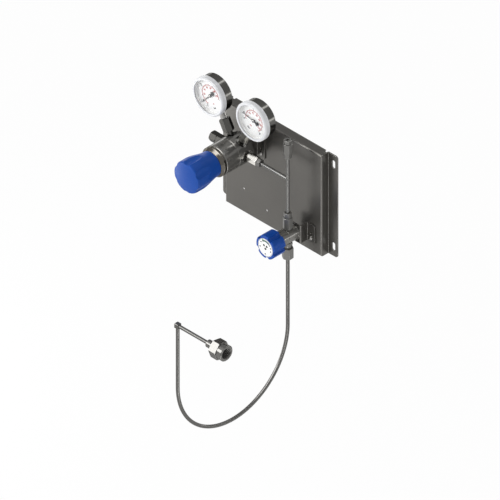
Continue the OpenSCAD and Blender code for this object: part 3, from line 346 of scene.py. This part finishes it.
def printed(name, colour):
    """Ink with a slightly uneven tone."""
    made, tree, shader, place = new_material(name)
    fine = noise(place, (1, 1, 1), 1500.0, 2.0)
    feed(tree, shader, Base_Color=fine.mixed(scaled(colour, 0.8), scaled(colour, 1.2)), Roughness=0.45 + fine * 0.1)
    return made


def dyed_arc(name, centre, stops):
    """Ink whose colour runs along an arc round a point, from the lower left clockwise."""
    made, tree, shader, place = new_material(name)
    offset = place.also("ShaderNodeVectorMath", {"operation": "SUBTRACT"}, {0: place, 1: centre})
    apart = {axis: place.also("ShaderNodeSeparateXYZ", None, {"Vector": offset}, axis) for axis in ("X", "Z")}
    turn = apart["X"].math("ARCTAN2", apart["Z"], apart["X"] * -1.0) / math.pi
    ramp = place.also("ShaderNodeValToRGB", {"stops": stops}, {"Fac": turn.clamped()}, "Color")
    fine = noise(place, (1, 1, 1), 1500.0, 2.0)
    feed(tree, shader, Base_Color=ramp, Roughness=0.4 + fine * 0.1)
    return made


def show(tree, surface):
    """Makes a shader the material's surface."""
    output = next(n for n in tree.nodes if n.type == "OUTPUT_MATERIAL")
    tree.links.new(surface.socket, output.inputs["Surface"])


def clear_window(name):
    """Thin clear window: it lets light through and mirrors a little of the room."""
    made, tree, shader, place = new_material(name)
    smear = noise(place, (1, 1, 1), 60.0, 2.0)
    feed(tree, shader, Base_Color=(0.9, 0.93, 0.95, 1), Roughness=0.02 + smear * 0.05)
    shader.inputs["Specular IOR Level"].default_value = 1.0
    through = place.also("ShaderNodeBsdfTransparent")
    solid = Sock(tree, shader.outputs[0])
    show(tree, place.also("ShaderNodeMixShader", None, {0: 0.015 + smear * 0.02, 1: through, 2: solid}))
    return made


def dress(names, material):
    """Gives CAD nodes a material by their own slots."""
    for name in names:
        for slot in NODES[name].material_slots:
            slot.material = material


def ray_masks(place):
    """Masks of the camera's, the gloss and the transmission rays."""
    kinds = ("Camera", "Glossy", "Transmission")
    return [place.also("ShaderNodeLightPath", output=f"Is {kind} Ray") for kind in kinds]


# Meshes in their final place


def plain_mesh(source, name, matrix=None):
    """A mesh object at the origin from a source whose modifiers or text are evaluated. The source is removed."""
    bpy.context.view_layer.update()
    graph = bpy.context.evaluated_depsgraph_get()
    mesh = bpy.data.meshes.new_from_object(source.evaluated_get(graph), depsgraph=graph)
    bpy.data.objects.remove(source)
    mesh.name = name
    if matrix is not None:
        mesh.transform(matrix)
    made = bpy.data.objects.new(name, mesh)
    bpy.context.scene.collection.objects.link(made)
    return made


def joined(name, parts, material):
    """One mesh object from several at the origin, with one material."""
    merged = bmesh.new()
    for part in parts:
        merged.from_mesh(part.data)
        bpy.data.objects.remove(part)
    mesh = bpy.data.meshes.new(name)
    merged.to_mesh(mesh)
    merged.free()
    mesh.materials.append(material)
    for face in mesh.polygons:
        face.material_index = 0
    made = bpy.data.objects.new(name, mesh)
    bpy.context.scene.collection.objects.link(made)
    return made


def front_centre(node):
    """The middle of a node's front face."""
    low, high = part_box(node)
    return Vector(((low.x + high.x) / 2, low.y, (low.z + high.z) / 2))


def face_matrix(centre, lean):
    """From a drawing in X and Y to a face that looks to the front, with its top leaning to the right."""
    right = Vector((math.cos(lean), 0, -math.sin(lean)))
    top = Vector((math.sin(lean), 0, math.cos(lean)))
    front = Vector((0, -1, 0))
    turned = Matrix((right, top, front)).transposed().to_4x4()
    return Matrix.Translation(centre) @ turned


def clock_place(radius, angle):
    """A place in a drawing, at an angle clockwise from straight down."""
    turn = math.radians(angle)
    return -radius * math.sin(turn), -radius * math.cos(turn)


# The font's size for a figure of unit height, and how much bolder its strokes are made
FONT_SIZE = 1.4
FONT_BOLD = 0.05


def figure(text, height, place, thickness, matrix):
    """A raised figure, centred on its place."""
    curve = bpy.data.curves.new("figure", "FONT")
    curve.body = text
    curve.size = height * FONT_SIZE
    curve.align_x = "CENTER"
    curve.align_y = "CENTER"
    curve.extrude = thickness
    curve.offset = height * FONT_BOLD
    curve.resolution_u = 4
    source = bpy.data.objects.new("figure", curve)
    bpy.context.scene.collection.objects.link(source)
    return plain_mesh(source, "figure", matrix @ Matrix.Translation((*place, 0)))


# A ring's plate stops just short of its start, so that its two ends don't share a face
FULL_TURN = 359.9


def arc_plate(radius, width, start, end, thickness, matrix, steps=48):
    """A flat arc, from one clock angle to another."""
    made = bmesh.new()
    rings = []
    for i in range(steps + 1):
        angle = start + (end - start) * i / steps
        ring = []
        for reach in (radius - width / 2, radius + width / 2):
            x, y = clock_place(reach, angle)
            ring.append([made.verts.new((x, y, z)) for z in (-SINK, thickness)])
        rings.append([ring[0][0], ring[1][0], ring[1][1], ring[0][1]])
    for a, b in zip(rings, rings[1:]):
        for i in range(4):
            j = (i + 1) % 4
            made.faces.new((a[i], a[j], b[j], b[i]))
    made.faces.new(rings[0][::-1])
    made.faces.new(rings[-1])
    bmesh.ops.recalc_face_normals(made, faces=made.faces)
    mesh = bpy.data.meshes.new("arc")
    made.to_mesh(mesh)
    made.free()
    mesh.transform(matrix)
    arc = bpy.data.objects.new("arc", mesh)
    bpy.context.scene.collection.objects.link(arc)
    return arc


def solid(made, matrix):
    """A mesh object of a closed form, with its normals out."""
    bmesh.ops.remove_doubles(made, verts=made.verts, dist=1e-7)
    bmesh.ops.recalc_face_normals(made, faces=made.faces)
    mesh = bpy.data.meshes.new("form")
    made.to_mesh(mesh)
    made.free()
    mesh.transform(matrix)
    form = bpy.data.objects.new("form", mesh)
    bpy.context.scene.collection.objects.link(form)
    return form


def prism(corners, rise, matrix):
    """A plate with these corners."""
    made = bmesh.new()
    low = [made.verts.new(c) for c in corners]
    high = [made.verts.new(c + rise) for c in corners]
    made.faces.new(low[::-1])
    made.faces.new(high)
    for i in range(len(corners)):
        j = (i + 1) % len(corners)
        made.faces.new((low[i], low[j], high[j], high[i]))
    return solid(made, matrix)


def lathe(outline, turns, matrix):
    """A form turned round the axis that looks out of a drawing, from radius and height."""
    made = bmesh.new()
    line = [made.verts.new((r, 0, z)) for r, z in outline]
    edges = [made.edges.new(pair) for pair in zip(line, line[1:])]
    bmesh.ops.spin(
        made, geom=line + edges, cent=(0, 0, 0), axis=(0, 0, 1), angle=2 * math.pi, steps=turns, use_merge=True
    )
    return solid(made, matrix)


# Geometry Nodes


def node_group(name, sockets):
    """An empty tree with a geometry output and named inputs, and the identifiers of those inputs."""
    tree = bpy.data.node_groups.new(name, "GeometryNodeTree")
    tree.interface.new_socket("Geometry", in_out="OUTPUT", socket_type="NodeSocketGeometry")
    made = {n: tree.interface.new_socket(n, in_out="INPUT", socket_type=kind) for n, kind in sockets.items()}
    return tree, {n: socket.identifier for n, socket in made.items()}


def from_tree(tree, keys, values, name, matrix):
    """The plain mesh that a tree makes with these values."""
    source = bpy.data.objects.new(name, bpy.data.meshes.new(name))
    bpy.context.scene.collection.objects.link(source)
    modifier = source.modifiers.new("shape", "NODES")
    modifier.node_group = tree
    for key, value in values.items():
        modifier[keys[key]] = value
    return plain_mesh(source, name, matrix)


def put(tree, kind, settings=None, **links):
    """A node of a geometry tree. A link's name has underscores for spaces."""
    made = tree.nodes.new(kind)
    for key, value in (settings or {}).items():
        setattr(made, key, value)
    for key, value in links.items():
        socket = made.inputs[int(key[1:])] if key[1:].isdigit() else made.inputs[key.replace("_", " ")]
        if isinstance(value, bpy.types.NodeSocket):
            tree.links.new(value, socket)
        else:
            socket.default_value = value
    return made


def scale_marks_tree():
    """Marks at even steps round a dial, each a small bar that points to the centre."""
    tree, keys = node_group(
        "Scale marks",
        {
            "Count": "NodeSocketInt",
            "Radius": "NodeSocketFloat",
            "Start": "NodeSocketFloat",
            "Step": "NodeSocketFloat",
            "Size": "NodeSocketVector",
            "Material": "NodeSocketMaterial",
        },
    )
    inputs = tree.nodes.new("NodeGroupInput").outputs
    row = put(tree, "GeometryNodeMeshLine", Count=inputs["Count"], Offset=(0, 0, 0))
    index = tree.nodes.new("GeometryNodeInputIndex").outputs[0]
    step, start = inputs["Step"], inputs["Start"]
    turn = put(tree, "ShaderNodeMath", {"operation": "MULTIPLY_ADD"}, _0=index, _1=step, _2=start)
    sine = put(tree, "ShaderNodeMath", {"operation": "SINE"}, _0=turn.outputs[0])
    cosine = put(tree, "ShaderNodeMath", {"operation": "COSINE"}, _0=turn.outputs[0])
    across = put(tree, "ShaderNodeCombineXYZ", X=sine.outputs[0], Y=cosine.outputs[0])
    place = put(
        tree, "ShaderNodeVectorMath", {"operation": "SCALE"}, Vector=across.outputs[0], Scale=inputs["Radius"]
    )
    outward = put(tree, "ShaderNodeVectorMath", {"operation": "SCALE"}, Vector=place.outputs[0], Scale=-1.0)
    moved = put(tree, "GeometryNodeSetPosition", Geometry=row.outputs[0], Position=outward.outputs[0])
    bar = put(tree, "GeometryNodeMeshCube", Size=inputs["Size"])
    flip = put(tree, "ShaderNodeMath", {"operation": "MULTIPLY"}, _0=turn.outputs[0], _1=-1.0)
    spin = put(tree, "ShaderNodeCombineXYZ", Z=flip.outputs[0])
    spread = put(
        tree,
        "GeometryNodeInstanceOnPoints",
        Points=moved.outputs[0],
        Instance=bar.outputs[0],
        Rotation=spin.outputs[0],
    )
    real = put(tree, "GeometryNodeRealizeInstances", Geometry=spread.outputs[0])
    inked = put(tree, "GeometryNodeSetMaterial", Geometry=real.outputs[0], Material=inputs["Material"])
    put(tree, "NodeGroupOutput", Geometry=inked.outputs[0])
    return tree, keys


def thread_tree():
    """A ridge that winds along a bore."""
    tree, keys = node_group(
        "Thread ridge",
        {
            "Radius": "NodeSocketFloat",
            "Ridge": "NodeSocketFloat",
            "Turns": "NodeSocketFloat",
            "Length": "NodeSocketFloat",
            "Material": "NodeSocketMaterial",
        },
    )
    inputs = tree.nodes.new("NodeGroupInput").outputs
    path = put(
        tree,
        "GeometryNodeCurveSpiral",
        Resolution=48,
        Rotations=inputs["Turns"],
        Start_Radius=inputs["Radius"],
        End_Radius=inputs["Radius"],
        Height=inputs["Length"],
    )
    section = put(tree, "GeometryNodeCurvePrimitiveCircle", Resolution=6, Radius=inputs["Ridge"])
    ridge = put(tree, "GeometryNodeCurveToMesh", Curve=path.outputs[0], Profile_Curve=section.outputs[0])
    ridge.inputs["Fill Caps"].default_value = True
    smooth = put(tree, "GeometryNodeSetShadeSmooth", Geometry=ridge.outputs[0])
    real = put(tree, "GeometryNodeRealizeInstances", Geometry=smooth.outputs[0])
    cut = put(tree, "GeometryNodeSetMaterial", Geometry=real.outputs[0], Material=inputs["Material"])
    put(tree, "NodeGroupOutput", Geometry=cut.outputs[0])
    return tree, keys


# One operator for each group of pieces


class GASPANEL_OT_sheet(bpy.types.Operator):
    """Brushed finish of the bent plate and its two brackets, and the screws in them"""

    bl_idname = "gas_panel.sheet"
    bl_label = "Dress the Sheet Metal"

    def execute(self, context):
        looks = finishes()
        rolled = {"mottle": 0.08, "share_metal": 0.8, "edge": 0.0007}
        plate = metal("brushed_sheet", looks.sheet, looks.roughness, (40, 900, 2600), **rolled)
        # Painted shade: the brackets take the sheet colour darkened to 0.85
        bracket = metal("bracket_sheet_painted_shade", scaled(looks.sheet, 0.85), looks.roughness, (1800, 1800, 30), **rolled)
        plated = metal("plated_screws", looks.fitting, 0.26, (1700, 90, 1700), edge=0.0002)
        dress(["back_plate"], plate)
        dress(["regulator_bracket", "valve_bracket"], bracket)
        dress(["bracket_screws", "bracket_nuts", "body_screws"], plated)
        return {"FINISHED"}


class GASPANEL_OT_bodies(bpy.types.Operator):
    """Turned finish of the regulator, the valve and what is inside them"""

    bl_idname = "gas_panel.bodies"
    bl_label = "Dress the Bodies"

    def execute(self, context):
        looks = finishes()
        turned = metal(
            "turned_body", looks.body, 0.17, (30, 3200, 30), streak=0.08, edge=0.0005, share_metal=0.62
        )
        ring = metal("warm_ring", looks.ring, 0.15, (30, 4000, 30), streak=0.12, edge=0.0004)
        inner = metal("inner_steel", looks.tube, 0.3, (60, 2600, 60))
        brass = metal("machined_brass", looks.brass, 0.28, (80, 2600, 80))
        wire = metal("spring_wire", looks.case, 0.35, (2400, 2400, 2400))
        dress(["regulator_body", "regulator_bonnet", "valve_body", "valve_bonnet"], turned)
        dress(["bonnet_ring"], ring)
        dress(["main_poppet", "diaphragm", "diaphragm_plate", "spring_button"], inner)
        dress(["adjusting_spindle", "valve_diaphragm", "valve_spindle"], inner)
        dress(["seat_nozzle", "valve_stem"], brass)
        dress(["range_spring", "poppet_spring"], wire)
        for spring, (joint, stroke) in SPRING_STROKES.items():
            self.press(spring, joint, stroke)
        return {"FINISHED"}

    def press(self, spring, joint, stroke):
        """Gives a spring a mesh of its own."""
        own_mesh(NODES[spring])


class GASPANEL_OT_fittings(bpy.types.Operator):
    """Machined finish of the connectors, nuts and tubes, with grain along each one's axis"""

    bl_idname = "gas_panel.fittings"
    bl_label = "Dress the Fittings and Tubes"

    def execute(self, context):
        looks = finishes()
        along_x, along_z = (2600, 40, 40), (40, 40, 2600)
        # Painted light: lit copies of the dull fitting colour, 1.3 times as bright for fittings along X and 1.5 times
        # for upright ones
        lit_dull_x, lit_dull_z = scaled(looks.dull_fitting, 1.3), scaled(looks.dull_fitting, 1.5)
        polished_x = metal("polished_fitting_x", looks.polished, 0.14, along_x, edge=0.0004)
        turned_x = metal("turned_fitting_x", lit_dull_x, 0.15, along_x, edge=0.0004, share_metal=0.75)
        turned_z = metal("turned_fitting_z", lit_dull_z, 0.30, along_z, edge=0.0005, share_metal=0.6)
        dark_x = metal("dark_fitting_x", looks.blackened, 0.34, along_x, edge=0.0005, share_metal=0.7)
        drawn = {"grain": (120, 120, 120), "streak": 0.02, "edge": 0, "tint": 0.4, "share_metal": 0.7}
        tube = metal("drawn_tube", looks.tube, 0.20, **drawn)
        pigtail = metal("pigtail_steel", looks.dull_fitting, 0.22, **drawn)
        rubber = moulding("black_rubber", looks.ink, 0.6, 300.0)
        dress(["inlet_connector"], polished_x)
        dress(["cylinder_nut", "cylinder_nipple"], turned_x)
        dress(["outlet_connector", "outlet_nut"], dark_x)
        dress(["tube_nuts", "tube_ferrules", "purge_union", "purge_nut"], turned_z)
        dress(["valve_top_connector", "valve_bottom_connector", "pigtail_nut"], turned_z)
        dress(["tube_manifold"], tube)
        dress(["pigtail_tube", "nipple_stem", "pigtail_elbow"], pigtail)
        dress(["seal_ring"], rubber)
        return {"FINISHED"}


class GASPANEL_OT_knobs(bpy.types.Operator):
    """Moulded blue finish of both knobs and the printed disc on the valve's knob"""

    bl_idname = "gas_panel.knobs"
    bl_label = "Dress the Knobs"

    # The arc's colours from dark teal to dark blue, then clock angles and sizes of the other marks
    arc_stops = (
        (0.30, (0.006, 0.045, 0.035)),
        (0.45, (0.010, 0.090, 0.050)),
        (0.60, (0.006, 0.060, 0.075)),
        (0.80, (0.004, 0.012, 0.05)),
    )
    arc_span = (145, 220)
    patch_span, patch_offset, patch_w = (147, 161), 0.0026, 0.0016
    dash_angles, dash_half, dash_r, dash_w = (125, 80, 229, 253, 284, 0), 7, 0.0122, 0.0022
    rim_r, rim_w = 0.0158, 0.0005
    dot_places, dot_r, dot_w = ((-0.0033, 0.0033), (0.0030, 0.0030), (0.0, -0.0023)), 0.00115, 0.0022

    def execute(self, context):
        looks, sizes = finishes(), marks()
        dress(["regulator_knob", "valve_knob"], moulding("blue_moulding", looks.knob, 0.42, 520.0, gloss=0.2))
        dress(["knob_disc"], moulding("white_disc", looks.dial, 0.3, 300.0, coat=0.1))
        centre = front_centre("knob_disc")
        matrix = face_matrix(centre, 0)
        thick = sizes.print_h
        arc_ink = dyed_arc("arc_ink", centre, self.arc_stops)
        arc = arc_plate(sizes.arc_r, sizes.arc_w, *self.arc_span, thick, matrix)
        patch = arc_plate(sizes.arc_r + self.patch_offset, self.patch_w, *self.patch_span, thick, matrix, 8)
        dashes = []
        for angle in self.dash_angles:
            span = (angle - self.dash_half, angle + self.dash_half)
            dashes.append(arc_plate(self.dash_r, self.dash_w, *span, thick, matrix, 6))
        dashes.append(arc_plate(self.rim_r, self.rim_w, 0, FULL_TURN, thick, matrix, 64))
        dots = []
        for x, z in self.dot_places:
            spot = face_matrix(centre + Vector((x, 0, z)), 0)
            dots.append(arc_plate(self.dot_r, self.dot_w, 0, FULL_TURN, thick, spot, 16))
        made = [
            joined("knob_disc_arc", [arc], arc_ink),
            joined("knob_disc_patch", [patch], printed("pale_green_ink", (0.35, 0.62, 0.25))),
            joined("knob_disc_dashes", dashes, printed("grey_ink", (0.05, 0.05, 0.07))),
            joined("knob_disc_dots", dots, printed("black_ink_disc", looks.ink)),
        ]
        for piece in made:
            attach(piece, "valve_knob")
        return {"FINISHED"}


class GASPANEL_OT_gauges(bpy.types.Operator):
    """Finish of the two gauges, with their printed scales and figures"""

    bl_idname = "gas_panel.gauges"
    bl_label = "Dress the Gauges"

    def execute(self, context):
        looks, sizes = finishes(), marks()
        case = metal("satin_case", looks.case, 0.17, (30, 2600, 30), streak=0.08, edge=0.0004)
        adapter = metal("adapter_steel", looks.case, 0.2, (2400, 2400, 2400), edge=0.0005)
        socket = metal("socket_steel", looks.fitting, 0.2, (2400, 2400, 2400), edge=0.0004)
        brass = metal("gauge_brass", looks.brass, 0.3, (2400, 2400, 2400))
        bezel = moulding("white_bezel", looks.bezel, 0.36, 240.0, edge=0.0006)
        dial = moulding("dial_paint", looks.dial, 0.55, 700.0)
        window = clear_window("gauge_window")
        ink = printed("black_ink", looks.ink)
        red = printed("red_ink", looks.red_ink)
        for side, sign in SIDES.items():
            dress([f"{side}_gauge_case"], case)
            dress([f"{side}_gauge_adapter"], adapter)
            dress([f"{side}_gauge_socket"], socket)
            dress([f"{side}_gauge_bourdon"], brass)
            dress([f"{side}_gauge_bezel"], bezel)
            dress([f"{side}_gauge_dial"], dial)
            dress([f"{side}_gauge_window"], window)
            dress([f"{side}_gauge_pointer"], ink)
            self.scale(side, sign, sizes, ink, red, dial)
            self.pointer_trim(side, sign, ink, socket)
        return {"FINISHED"}

    def pointer_trim(self, side, sign, ink, steel):
        """The pointer's wide tail plate and its pale hub cap."""
        centre = front_centre(f"{side}_gauge_dial")
        centre.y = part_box(f"{side}_gauge_pointer")[0].y
        matrix = face_matrix(centre, sign * GAUGE_LEAN)
        along = Vector((*clock_place(1.0, ZERO_ANGLE + 180.0), 0))
        aside = Vector((-along.y, along.x, 0))
        tip, end, half = 0.0026, 0.0094, 0.0046
        corners = [along * tip, along * end + aside * half, along * end - aside * half]
        tail = prism([c + Vector((0, 0, -0.0007)) for c in corners], Vector((0, 0, 0.0008)), matrix)
        foot, shoulder, crown = 0.0001, 0.0004, 0.0008
        rim, top = 0.0024, 0.0014
        cap = lathe([(0, foot), (rim, foot), (rim, shoulder), (top, crown), (0, crown)], 48, matrix)
        for name, piece, material in (("tail", tail, ink), ("cap", cap, steel)):
            made = joined(f"{side}_gauge_pointer_{name}", [piece], material)
            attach(made, f"{side}_pointer")

    def sleeve(self, side, centre, white):
        """A white ring between the dial and the window, with a thin flange on the window's back."""
        dial_low, dial_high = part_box(f"{side}_gauge_dial")
        window_low, window_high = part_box(f"{side}_gauge_window")
        back, foot = -window_high.y, -dial_low.y + SINK
        gap, wall = 0.0003, 0.0006
        outer = (dial_high.x - dial_low.x) / 2 - gap
        inner = outer - wall
        rim = (window_high.x - window_low.x) / 2 - SINK
        top = back + 3 * SINK
        outline = [(inner, top), (rim, top), (rim, back), (outer, back), (outer, foot), (inner, foot), (inner, top)]
        ring = lathe(outline, 96, face_matrix(Vector((centre.x, 0, centre.z)), 0))
        return joined(f"{side}_gauge_ring", [ring], white)

    def scale(self, side, sign, sizes, ink, red, white):
        """Prints a scale from -1 to 9 in black and one in red inside it."""
        centre = front_centre(f"{side}_gauge_dial")
        matrix = face_matrix(centre, sign * GAUGE_LEAN)
        first, last = -1, 9
        every_bar = last - first + 1
        every_fifth = (last - first) * 5 + 1
        start_angle, end_angle = (ZERO_ANGLE + value * ANGLE_PER_BAR for value in (first, last))
        tree, keys = scale_marks_tree()
        start, step = math.radians(start_angle), math.radians(ANGLE_PER_BAR)

        def bars(name, count, radius, step, size, material):
            values = {"Count": count, "Radius": radius, "Start": start, "Step": step}
            values.update({"Size": size, "Material": material})
            return from_tree(tree, keys, values, name, matrix)

        thin, thick = sizes.print_h, 2 * sizes.print_h
        ring = self.sleeve(side, centre, white)
        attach(ring, "panel")
        # Offsets of the marks from the red band, and their widths and lengths
        outside, fine_inside, coarse_inside = 0.0014, 0.0011, 0.0016
        mark, fine, coarse = (0.0006, 0.0016, thick), (0.0004, 0.0018, thick), (0.0006, 0.0028, thick)
        black = [bars("black_marks", every_bar, sizes.band_r + outside, step, mark, ink)]
        for value in (first, 0, 3, 6, last):
            place = clock_place(sizes.figure_r, ZERO_ANGLE + value * ANGLE_PER_BAR)
            black.append(figure(str(value), sizes.figure_h, place, thin, matrix))
        black.append(figure("bar", 0.0034, clock_place(0.0222, 2), thin, matrix))
        black_scale = joined(f"{side}_gauge_black_scale", black, ink)
        per_ten = ANGLE_PER_BAR * BAR_PER_TEN_PSI
        reds = [
            bars("fine_marks", every_fifth, sizes.band_r - fine_inside, step / 5, fine, red),
            bars("coarse_marks", every_bar, sizes.band_r - coarse_inside, step, coarse, red),
            arc_plate(sizes.band_r, sizes.band_w, start_angle, end_angle, thin, matrix, 96),
        ]
        for value in range(0, 140, 20):
            place = clock_place(sizes.small_figure_r, ZERO_ANGLE + value / 10 * per_ten)
            reds.append(figure(str(value), sizes.small_figure_h, place, thin, matrix))
        reds.append(figure("psi", 0.0026, (0.0, -0.0145), thin, matrix))
        red_scale = joined(f"{side}_gauge_red_scale", reds, red)
        for piece in (black_scale, red_scale):
            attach(piece, "panel")


class GASPANEL_OT_thread(bpy.types.Operator):
    """Thread ridge inside the cylinder nut"""

    bl_idname = "gas_panel.thread"
    bl_label = "Cut the Nut's Thread"

    def execute(self, context):
        sizes = marks()
        low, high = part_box("cylinder_nut")
        bore_r, start, lead_out = 0.0105, 0.01165, 0.0008
        run = high.x - low.x - start - lead_out
        centre = Vector((low.x + start, (low.y + high.y) / 2, (low.z + high.z) / 2))
        matrix = Matrix.Translation(centre) @ Matrix.Rotation(math.pi / 2, 4, "Y")
        tree, keys = thread_tree()
        material = NODES["cylinder_nut"].material_slots[0].material
        values = {
            "Radius": bore_r,
            "Ridge": sizes.thread_h,
            "Turns": run / sizes.thread_pitch,
            "Length": run,
            "Material": material,
        }
        ridge = from_tree(tree, keys, values, "cylinder_nut_thread", matrix)
        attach(ridge, "cylinder_nut")
        return {"FINISHED"}


class GASPANEL_OT_stage(bpy.types.Operator):
    """Pale floor, soft lamps, and the camera that looks from the right, the front and above"""

    bl_idname = "gas_panel.stage"
    bl_label = "Set the Stage"

    def execute(self, context):
        self.floor()
        self.world(context.scene)
        for name, (target, offset, width, height, power) in LAMPS.items():
            self.lamp(name, target + Vector(offset), target, width, height, power)
        camera = bpy.data.cameras.new("camera")
        camera.type = "ORTHO"
        camera.ortho_scale = VIEW_WIDTH
        camera.clip_start, camera.clip_end = 0.01, 100
        made = bpy.data.objects.new("camera", camera)
        context.scene.collection.objects.link(made)
        back = CAMERA_WAY.normalized()
        made.location = VIEW_TARGET + back * CAMERA_DISTANCE
        made.rotation_mode = "QUATERNION"
        made.rotation_quaternion = (-back).to_track_quat("-Z", "Y")
        context.scene.camera = made
        context.scene.view_settings.view_transform = "Standard"
        return {"FINISHED"}

    def lamp(self, name, place, target, width, height, power):
        """A rectangular lamp that looks at its target."""
        light = bpy.data.lights.new(name, "AREA")
        light.shape = "RECTANGLE"
        light.size, light.size_y = width, height
        light.energy = power
        made = bpy.data.objects.new(name, light)
        bpy.context.scene.collection.objects.link(made)
        made.location = place
        made.rotation_mode = "QUATERNION"
        made.rotation_quaternion = (target - place).to_track_quat("-Z", "Y")

    def floor(self):
        """A pale floor, far enough below to keep only a soft shadow."""
        half, level = FLOOR_HALF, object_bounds()[0].z - FLOOR_DROP
        mesh = bpy.data.meshes.new("floor")
        corners = [(-half, -half, level), (half, -half, level), (half, half, level), (-half, half, level)]
        mesh.from_pydata(corners, [], [(0, 1, 2, 3)])
        made = bpy.data.objects.new("floor", mesh)
        bpy.context.scene.collection.objects.link(made)
        material, tree, shader, place = new_material("pale_floor")
        cloud = noise(place, (1, 1, 1), 3.0, 2.0)
        feed(tree, shader, Base_Color=cloud.mixed((0.86, 0.86, 0.86), (0.90, 0.90, 0.90)), Roughness=0.9)
        camera, gloss, through = ray_masks(place)
        seen = (camera + gloss + through).clamped()
        glow = place.also("ShaderNodeEmission", None, {"Color": (1, 1, 1, 1), "Strength": 1.0})
        ground = Sock(tree, shader.outputs[0])
        show(tree, place.also("ShaderNodeMixShader", None, {0: seen * FLOOR_GLOW, 1: ground, 2: glow}))
        mesh.materials.append(material)
        made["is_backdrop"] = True

    def world(self, scene):
        """Pale to the camera. Gloss sees a grey dome with a band and a strip behind and a pale patch in front."""
        world = bpy.data.worlds.new("studio")
        scene.world = world
        world.use_nodes = True
        tree = world.node_tree
        tree.nodes.clear()
        way = Sock.node(tree, "ShaderNodeTexCoord", output="Generated")
        across, depth, height = (
            way.also("ShaderNodeSeparateXYZ", None, {"Vector": way}, axis) for axis in ("X", "Y", "Z")
        )
        behind = (depth * 8.0).clamped()
        band = height.peak(-0.03, 0.05) * behind
        strip = across.peak(0.13, 0.04) * behind * (height * 8.0 - 2.0).clamped()
        front = across.peak(-0.15, 0.22) * (depth * -4.0).clamped() * (height * 4.0 - 1.0).clamped()
        dome, fall, streak, pale = 0.60, 0.10, 4.0, 6.0
        level = dome - depth * fall + (band + strip).clamped() * streak + front * pale
        gloss = way.also("ShaderNodeCombineColor", None, {"Red": level, "Green": level, "Blue": level})
        camera, glossy, through = ray_masks(way)
        ambient = (0.68, 0.68, 0.68)
        plain = glossy.mixed(ambient, gloss)
        shown = (camera + through).clamped().mixed(plain, (1.0, 1.0, 1.0))
        light = way.also("ShaderNodeBackground", None, {"Color": shown, "Strength": 1.0})
        output = tree.nodes.new("ShaderNodeOutputWorld")
        tree.links.new(light.socket, output.inputs["Surface"])


OPERATORS = (
    GASPANEL_OT_sheet,
    GASPANEL_OT_bodies,
    GASPANEL_OT_fittings,
    GASPANEL_OT_knobs,
    GASPANEL_OT_gauges,
    GASPANEL_OT_thread,
    GASPANEL_OT_stage,
)


class GASPANEL_PT_sidebar(bpy.types.Panel):
    """Lists the finishes, the marks and the steps that make them"""

    bl_idname = "GASPANEL_PT_sidebar"
    bl_label = "Gas Regulator Panel"
    bl_space_type = "VIEW_3D"
    bl_region_type = "UI"
    bl_category = "Gas Panel"

    def draw(self, context):
        for group in (context.scene.gas_panel_finishes, context.scene.gas_panel_marks):
            box = self.layout.box()
            for name in group.__annotations__:
                box.prop(group, name)
        for operator in OPERATORS:
            self.layout.operator(operator.bl_idname)


CLASSES = (PanelFinishes, PanelMarks, *OPERATORS, GASPANEL_PT_sidebar)


def register():
    """Adds the properties, the operators and the panel."""
    for made in CLASSES:
        bpy.utils.register_class(made)
    bpy.types.Scene.gas_panel_finishes = bpy.props.PointerProperty(type=PanelFinishes)
    bpy.types.Scene.gas_panel_marks = bpy.props.PointerProperty(type=PanelMarks)


def unregister():
    """Takes them away again."""
    del bpy.types.Scene.gas_panel_marks
    del bpy.types.Scene.gas_panel_finishes
    for made in reversed(CLASSES):
        bpy.utils.unregister_class(made)


def main():
    """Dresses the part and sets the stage."""
    register()
    bpy.ops.gas_panel.sheet()
    bpy.ops.gas_panel.bodies()
    bpy.ops.gas_panel.fittings()
    bpy.ops.gas_panel.knobs()
    bpy.ops.gas_panel.gauges()
    bpy.ops.gas_panel.thread()
    bpy.ops.gas_panel.stage()


if __name__ == "__main__":
    main()
